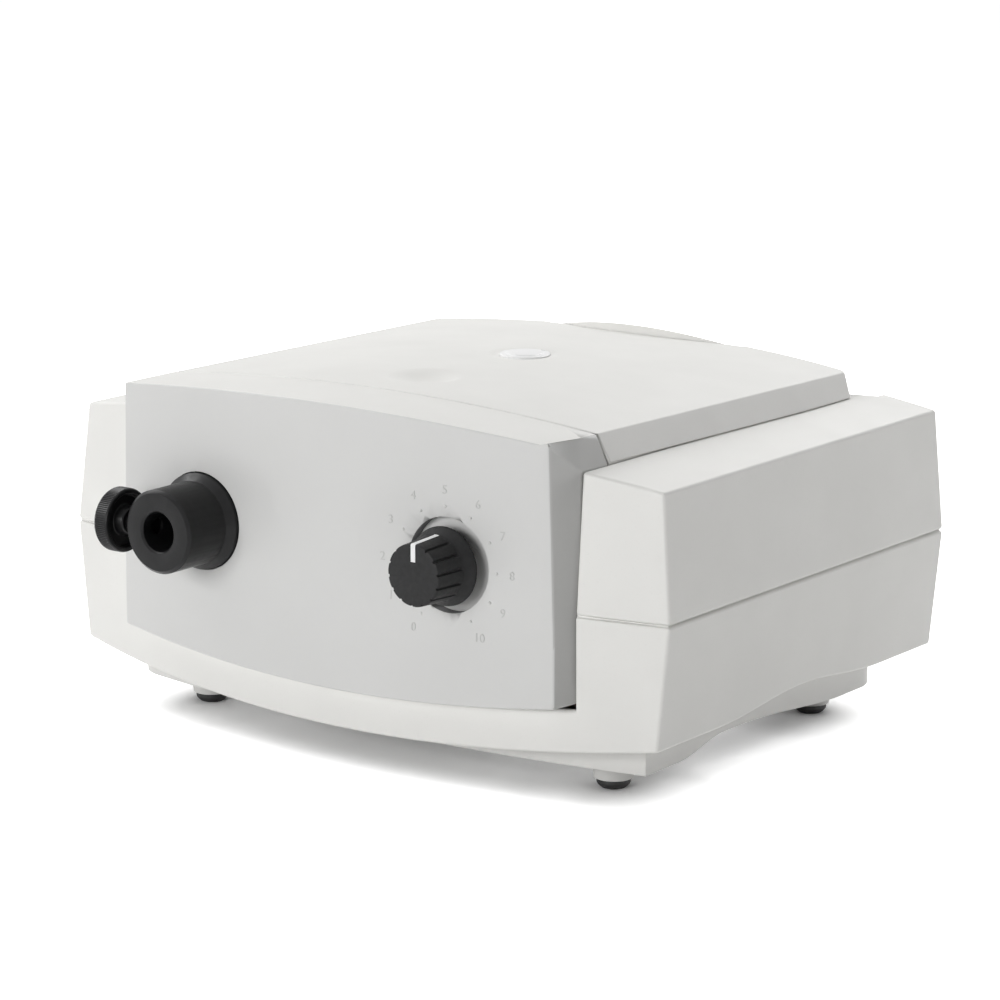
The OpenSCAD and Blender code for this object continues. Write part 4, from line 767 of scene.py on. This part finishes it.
# Painted shade on the round wall of the knob's well.
finish_where(bezel, WELL_PAINTED_SHADE, in_well)
rounded("rear_panel", FACE, 0.3 * MM)
badge_disc(WHITE)
rounded("light_guide_port", PORT, 0.25 * MM)
fluted_knob(KNOB)
knob_line(WHITE)
rounded("mains_inlet", BLACK, 0.4 * MM)
rounded("fuse_drawer", BLACK, 0.3 * MM)
rounded("switch_housing", BLACK, 0.4 * MM)
rounded("switch_rocker", BLACK, 0.3 * MM)
rounded("fan_frame", BLACK, 0.4 * MM)
rounded("fan_rotor", BLACK, 0.2 * MM)
rounded("power_parts", BLACK, 0.3 * MM)
rounded("power_heatsink", SHEET, 0.15 * MM)
rounded("lamp_base", CERAMIC, 0.5 * MM)
rounded("lamp_socket", CERAMIC, 0.5 * MM)
for node in ("foot_front_left", "foot_front_right", "foot_rear_left", "foot_rear_right"):
    rounded(node, RUBBER, 0.4 * MM)
thumbscrew(SCREW)
toroid_winding(72)
dial_marks(MARKS, FACE)
switch_marks(WHITE)


# ---- Floor, backdrop and lamps ----

OPEN_REACH = 0.035  # how near the part dims the floor's glow: the reach of its painted shadow
OPEN_LOW, OPEN_HIGH = 0.13, 0.62  # open sky at which the painted shadow begins and ends its fade
LAMPS_AIM = Vector((0, 0, 0.06))


def seen_rays(tree):
    """1 for a ray from the camera, a gloss or a clear piece, else 0."""
    ray = tree.nodes.new("ShaderNodeLightPath")
    share = ray.outputs["Is Camera Ray"]
    for kind in ("Is Glossy Ray", "Is Transmission Ray"):
        most = tree.nodes.new("ShaderNodeMath")
        most.operation = "MAXIMUM"
        tree.links.new(share, most.inputs[0])
        tree.links.new(ray.outputs[kind], most.inputs[1])
        share = most.outputs[0]
    return share


def lamp(name, place, size, power):
    """A softbox at a place, width and height in metres, turned to the part."""
    data = bpy.data.lights.new(name, "AREA")
    data.shape = "RECTANGLE"
    data.size, data.size_y = size
    data.energy = power
    light = bpy.data.objects.new(name, data)
    scene.collection.objects.link(light)
    light.location = place
    light.rotation_euler = (LAMPS_AIM - Vector(place)).to_track_quat("-Z", "Y").to_euler()


def floor():
    """A white floor lit by the lamps; seen directly it also glows white where it is open to the
    sky, so the shadow round what stands on it is partly cast and partly painted, and fades to
    pure white away from it.
    """
    form = bmesh.new()
    bmesh.ops.create_grid(form, x_segments=1, y_segments=1, size=20)
    mesh = bpy.data.meshes.new("floor")
    form.to_mesh(mesh)
    form.free()
    piece = bpy.data.objects.new("floor", mesh)
    scene.collection.objects.link(piece)
    material = bpy.data.materials.new("white studio floor")
    material.use_nodes = True
    tree = material.node_tree
    base = tree.nodes["Principled BSDF"]
    base.inputs["Base Color"].default_value = (0.95, 0.95, 0.95, 1)
    base.inputs["Roughness"].default_value = 1
    base.inputs["Specular IOR Level"].default_value = 0
    seen = seen_rays(tree)
    open_sky = tree.nodes.new("ShaderNodeAmbientOcclusion")
    open_sky.samples = 16
    open_sky.inputs["Distance"].default_value = OPEN_REACH
    fade = tree.nodes.new("ShaderNodeMapRange")
    fade.interpolation_type = "SMOOTHSTEP"
    for socket, number in zip(fade.inputs[1:5], (OPEN_LOW, OPEN_HIGH, 0, 1)):
        socket.default_value = number
    tree.links.new(open_sky.outputs["AO"], fade.inputs["Value"])
    share = tree.nodes.new("ShaderNodeMath")
    share.operation = "MULTIPLY"
    tree.links.new(seen, share.inputs[0])
    tree.links.new(fade.outputs["Result"], share.inputs[1])
    # The painted shadow: a glow seen directly, dimmed where the part hides the floor from the
    # sky.
    white = tree.nodes.new("ShaderNodeEmission")
    tree.links.new(share.outputs[0], white.inputs["Strength"])
    both = tree.nodes.new("ShaderNodeAddShader")
    tree.links.new(base.outputs[0], both.inputs[0])
    tree.links.new(white.outputs[0], both.inputs[1])
    tree.links.new(both.outputs[0], tree.nodes["Material Output"].inputs["Surface"])
    mesh.materials.append(material)


def world(level):
    """White where it is seen, and lighting the part only by the level given."""
    sky = bpy.data.worlds.new("studio")
    sky.use_nodes = True
    scene.world = sky
    tree = sky.node_tree
    plain = tree.nodes["Background"]
    plain.inputs["Color"].default_value = (1, 1, 1, 1)
    plain.inputs["Strength"].default_value = level
    white = tree.nodes.new("ShaderNodeBackground")
    white.inputs["Color"].default_value = (1, 1, 1, 1)
    white.inputs["Strength"].default_value = 1
    pick = tree.nodes.new("ShaderNodeMixShader")
    tree.links.new(seen_rays(tree), pick.inputs[0])
    tree.links.new(plain.outputs[0], pick.inputs[1])
    tree.links.new(white.outputs[0], pick.inputs[2])
    tree.links.new(pick.outputs[0], tree.nodes["World Output"].inputs["Surface"])


floor()
world(0.0)
lamp("overhead softbox", (-0.3, -0.2, 1.5), (1.4, 1.4), 4.2)
lamp("upper left softbox", (-1.2, 0.0, 1.2), (0.8, 0.8), 12.8)
lamp("front softbox", (0.0, -2.1, 0.6), (1.2, 0.8), 25.4)
lamp("rear softbox", (0.0, 1.6, 1.3), (1.4, 0.9), 20.6)
lamp("right rear fill", (1.6, 1.0, 0.25), (1.2, 0.3), 7.5)

scene.view_settings.view_transform = "Standard"
bpy.context.view_layer.update()
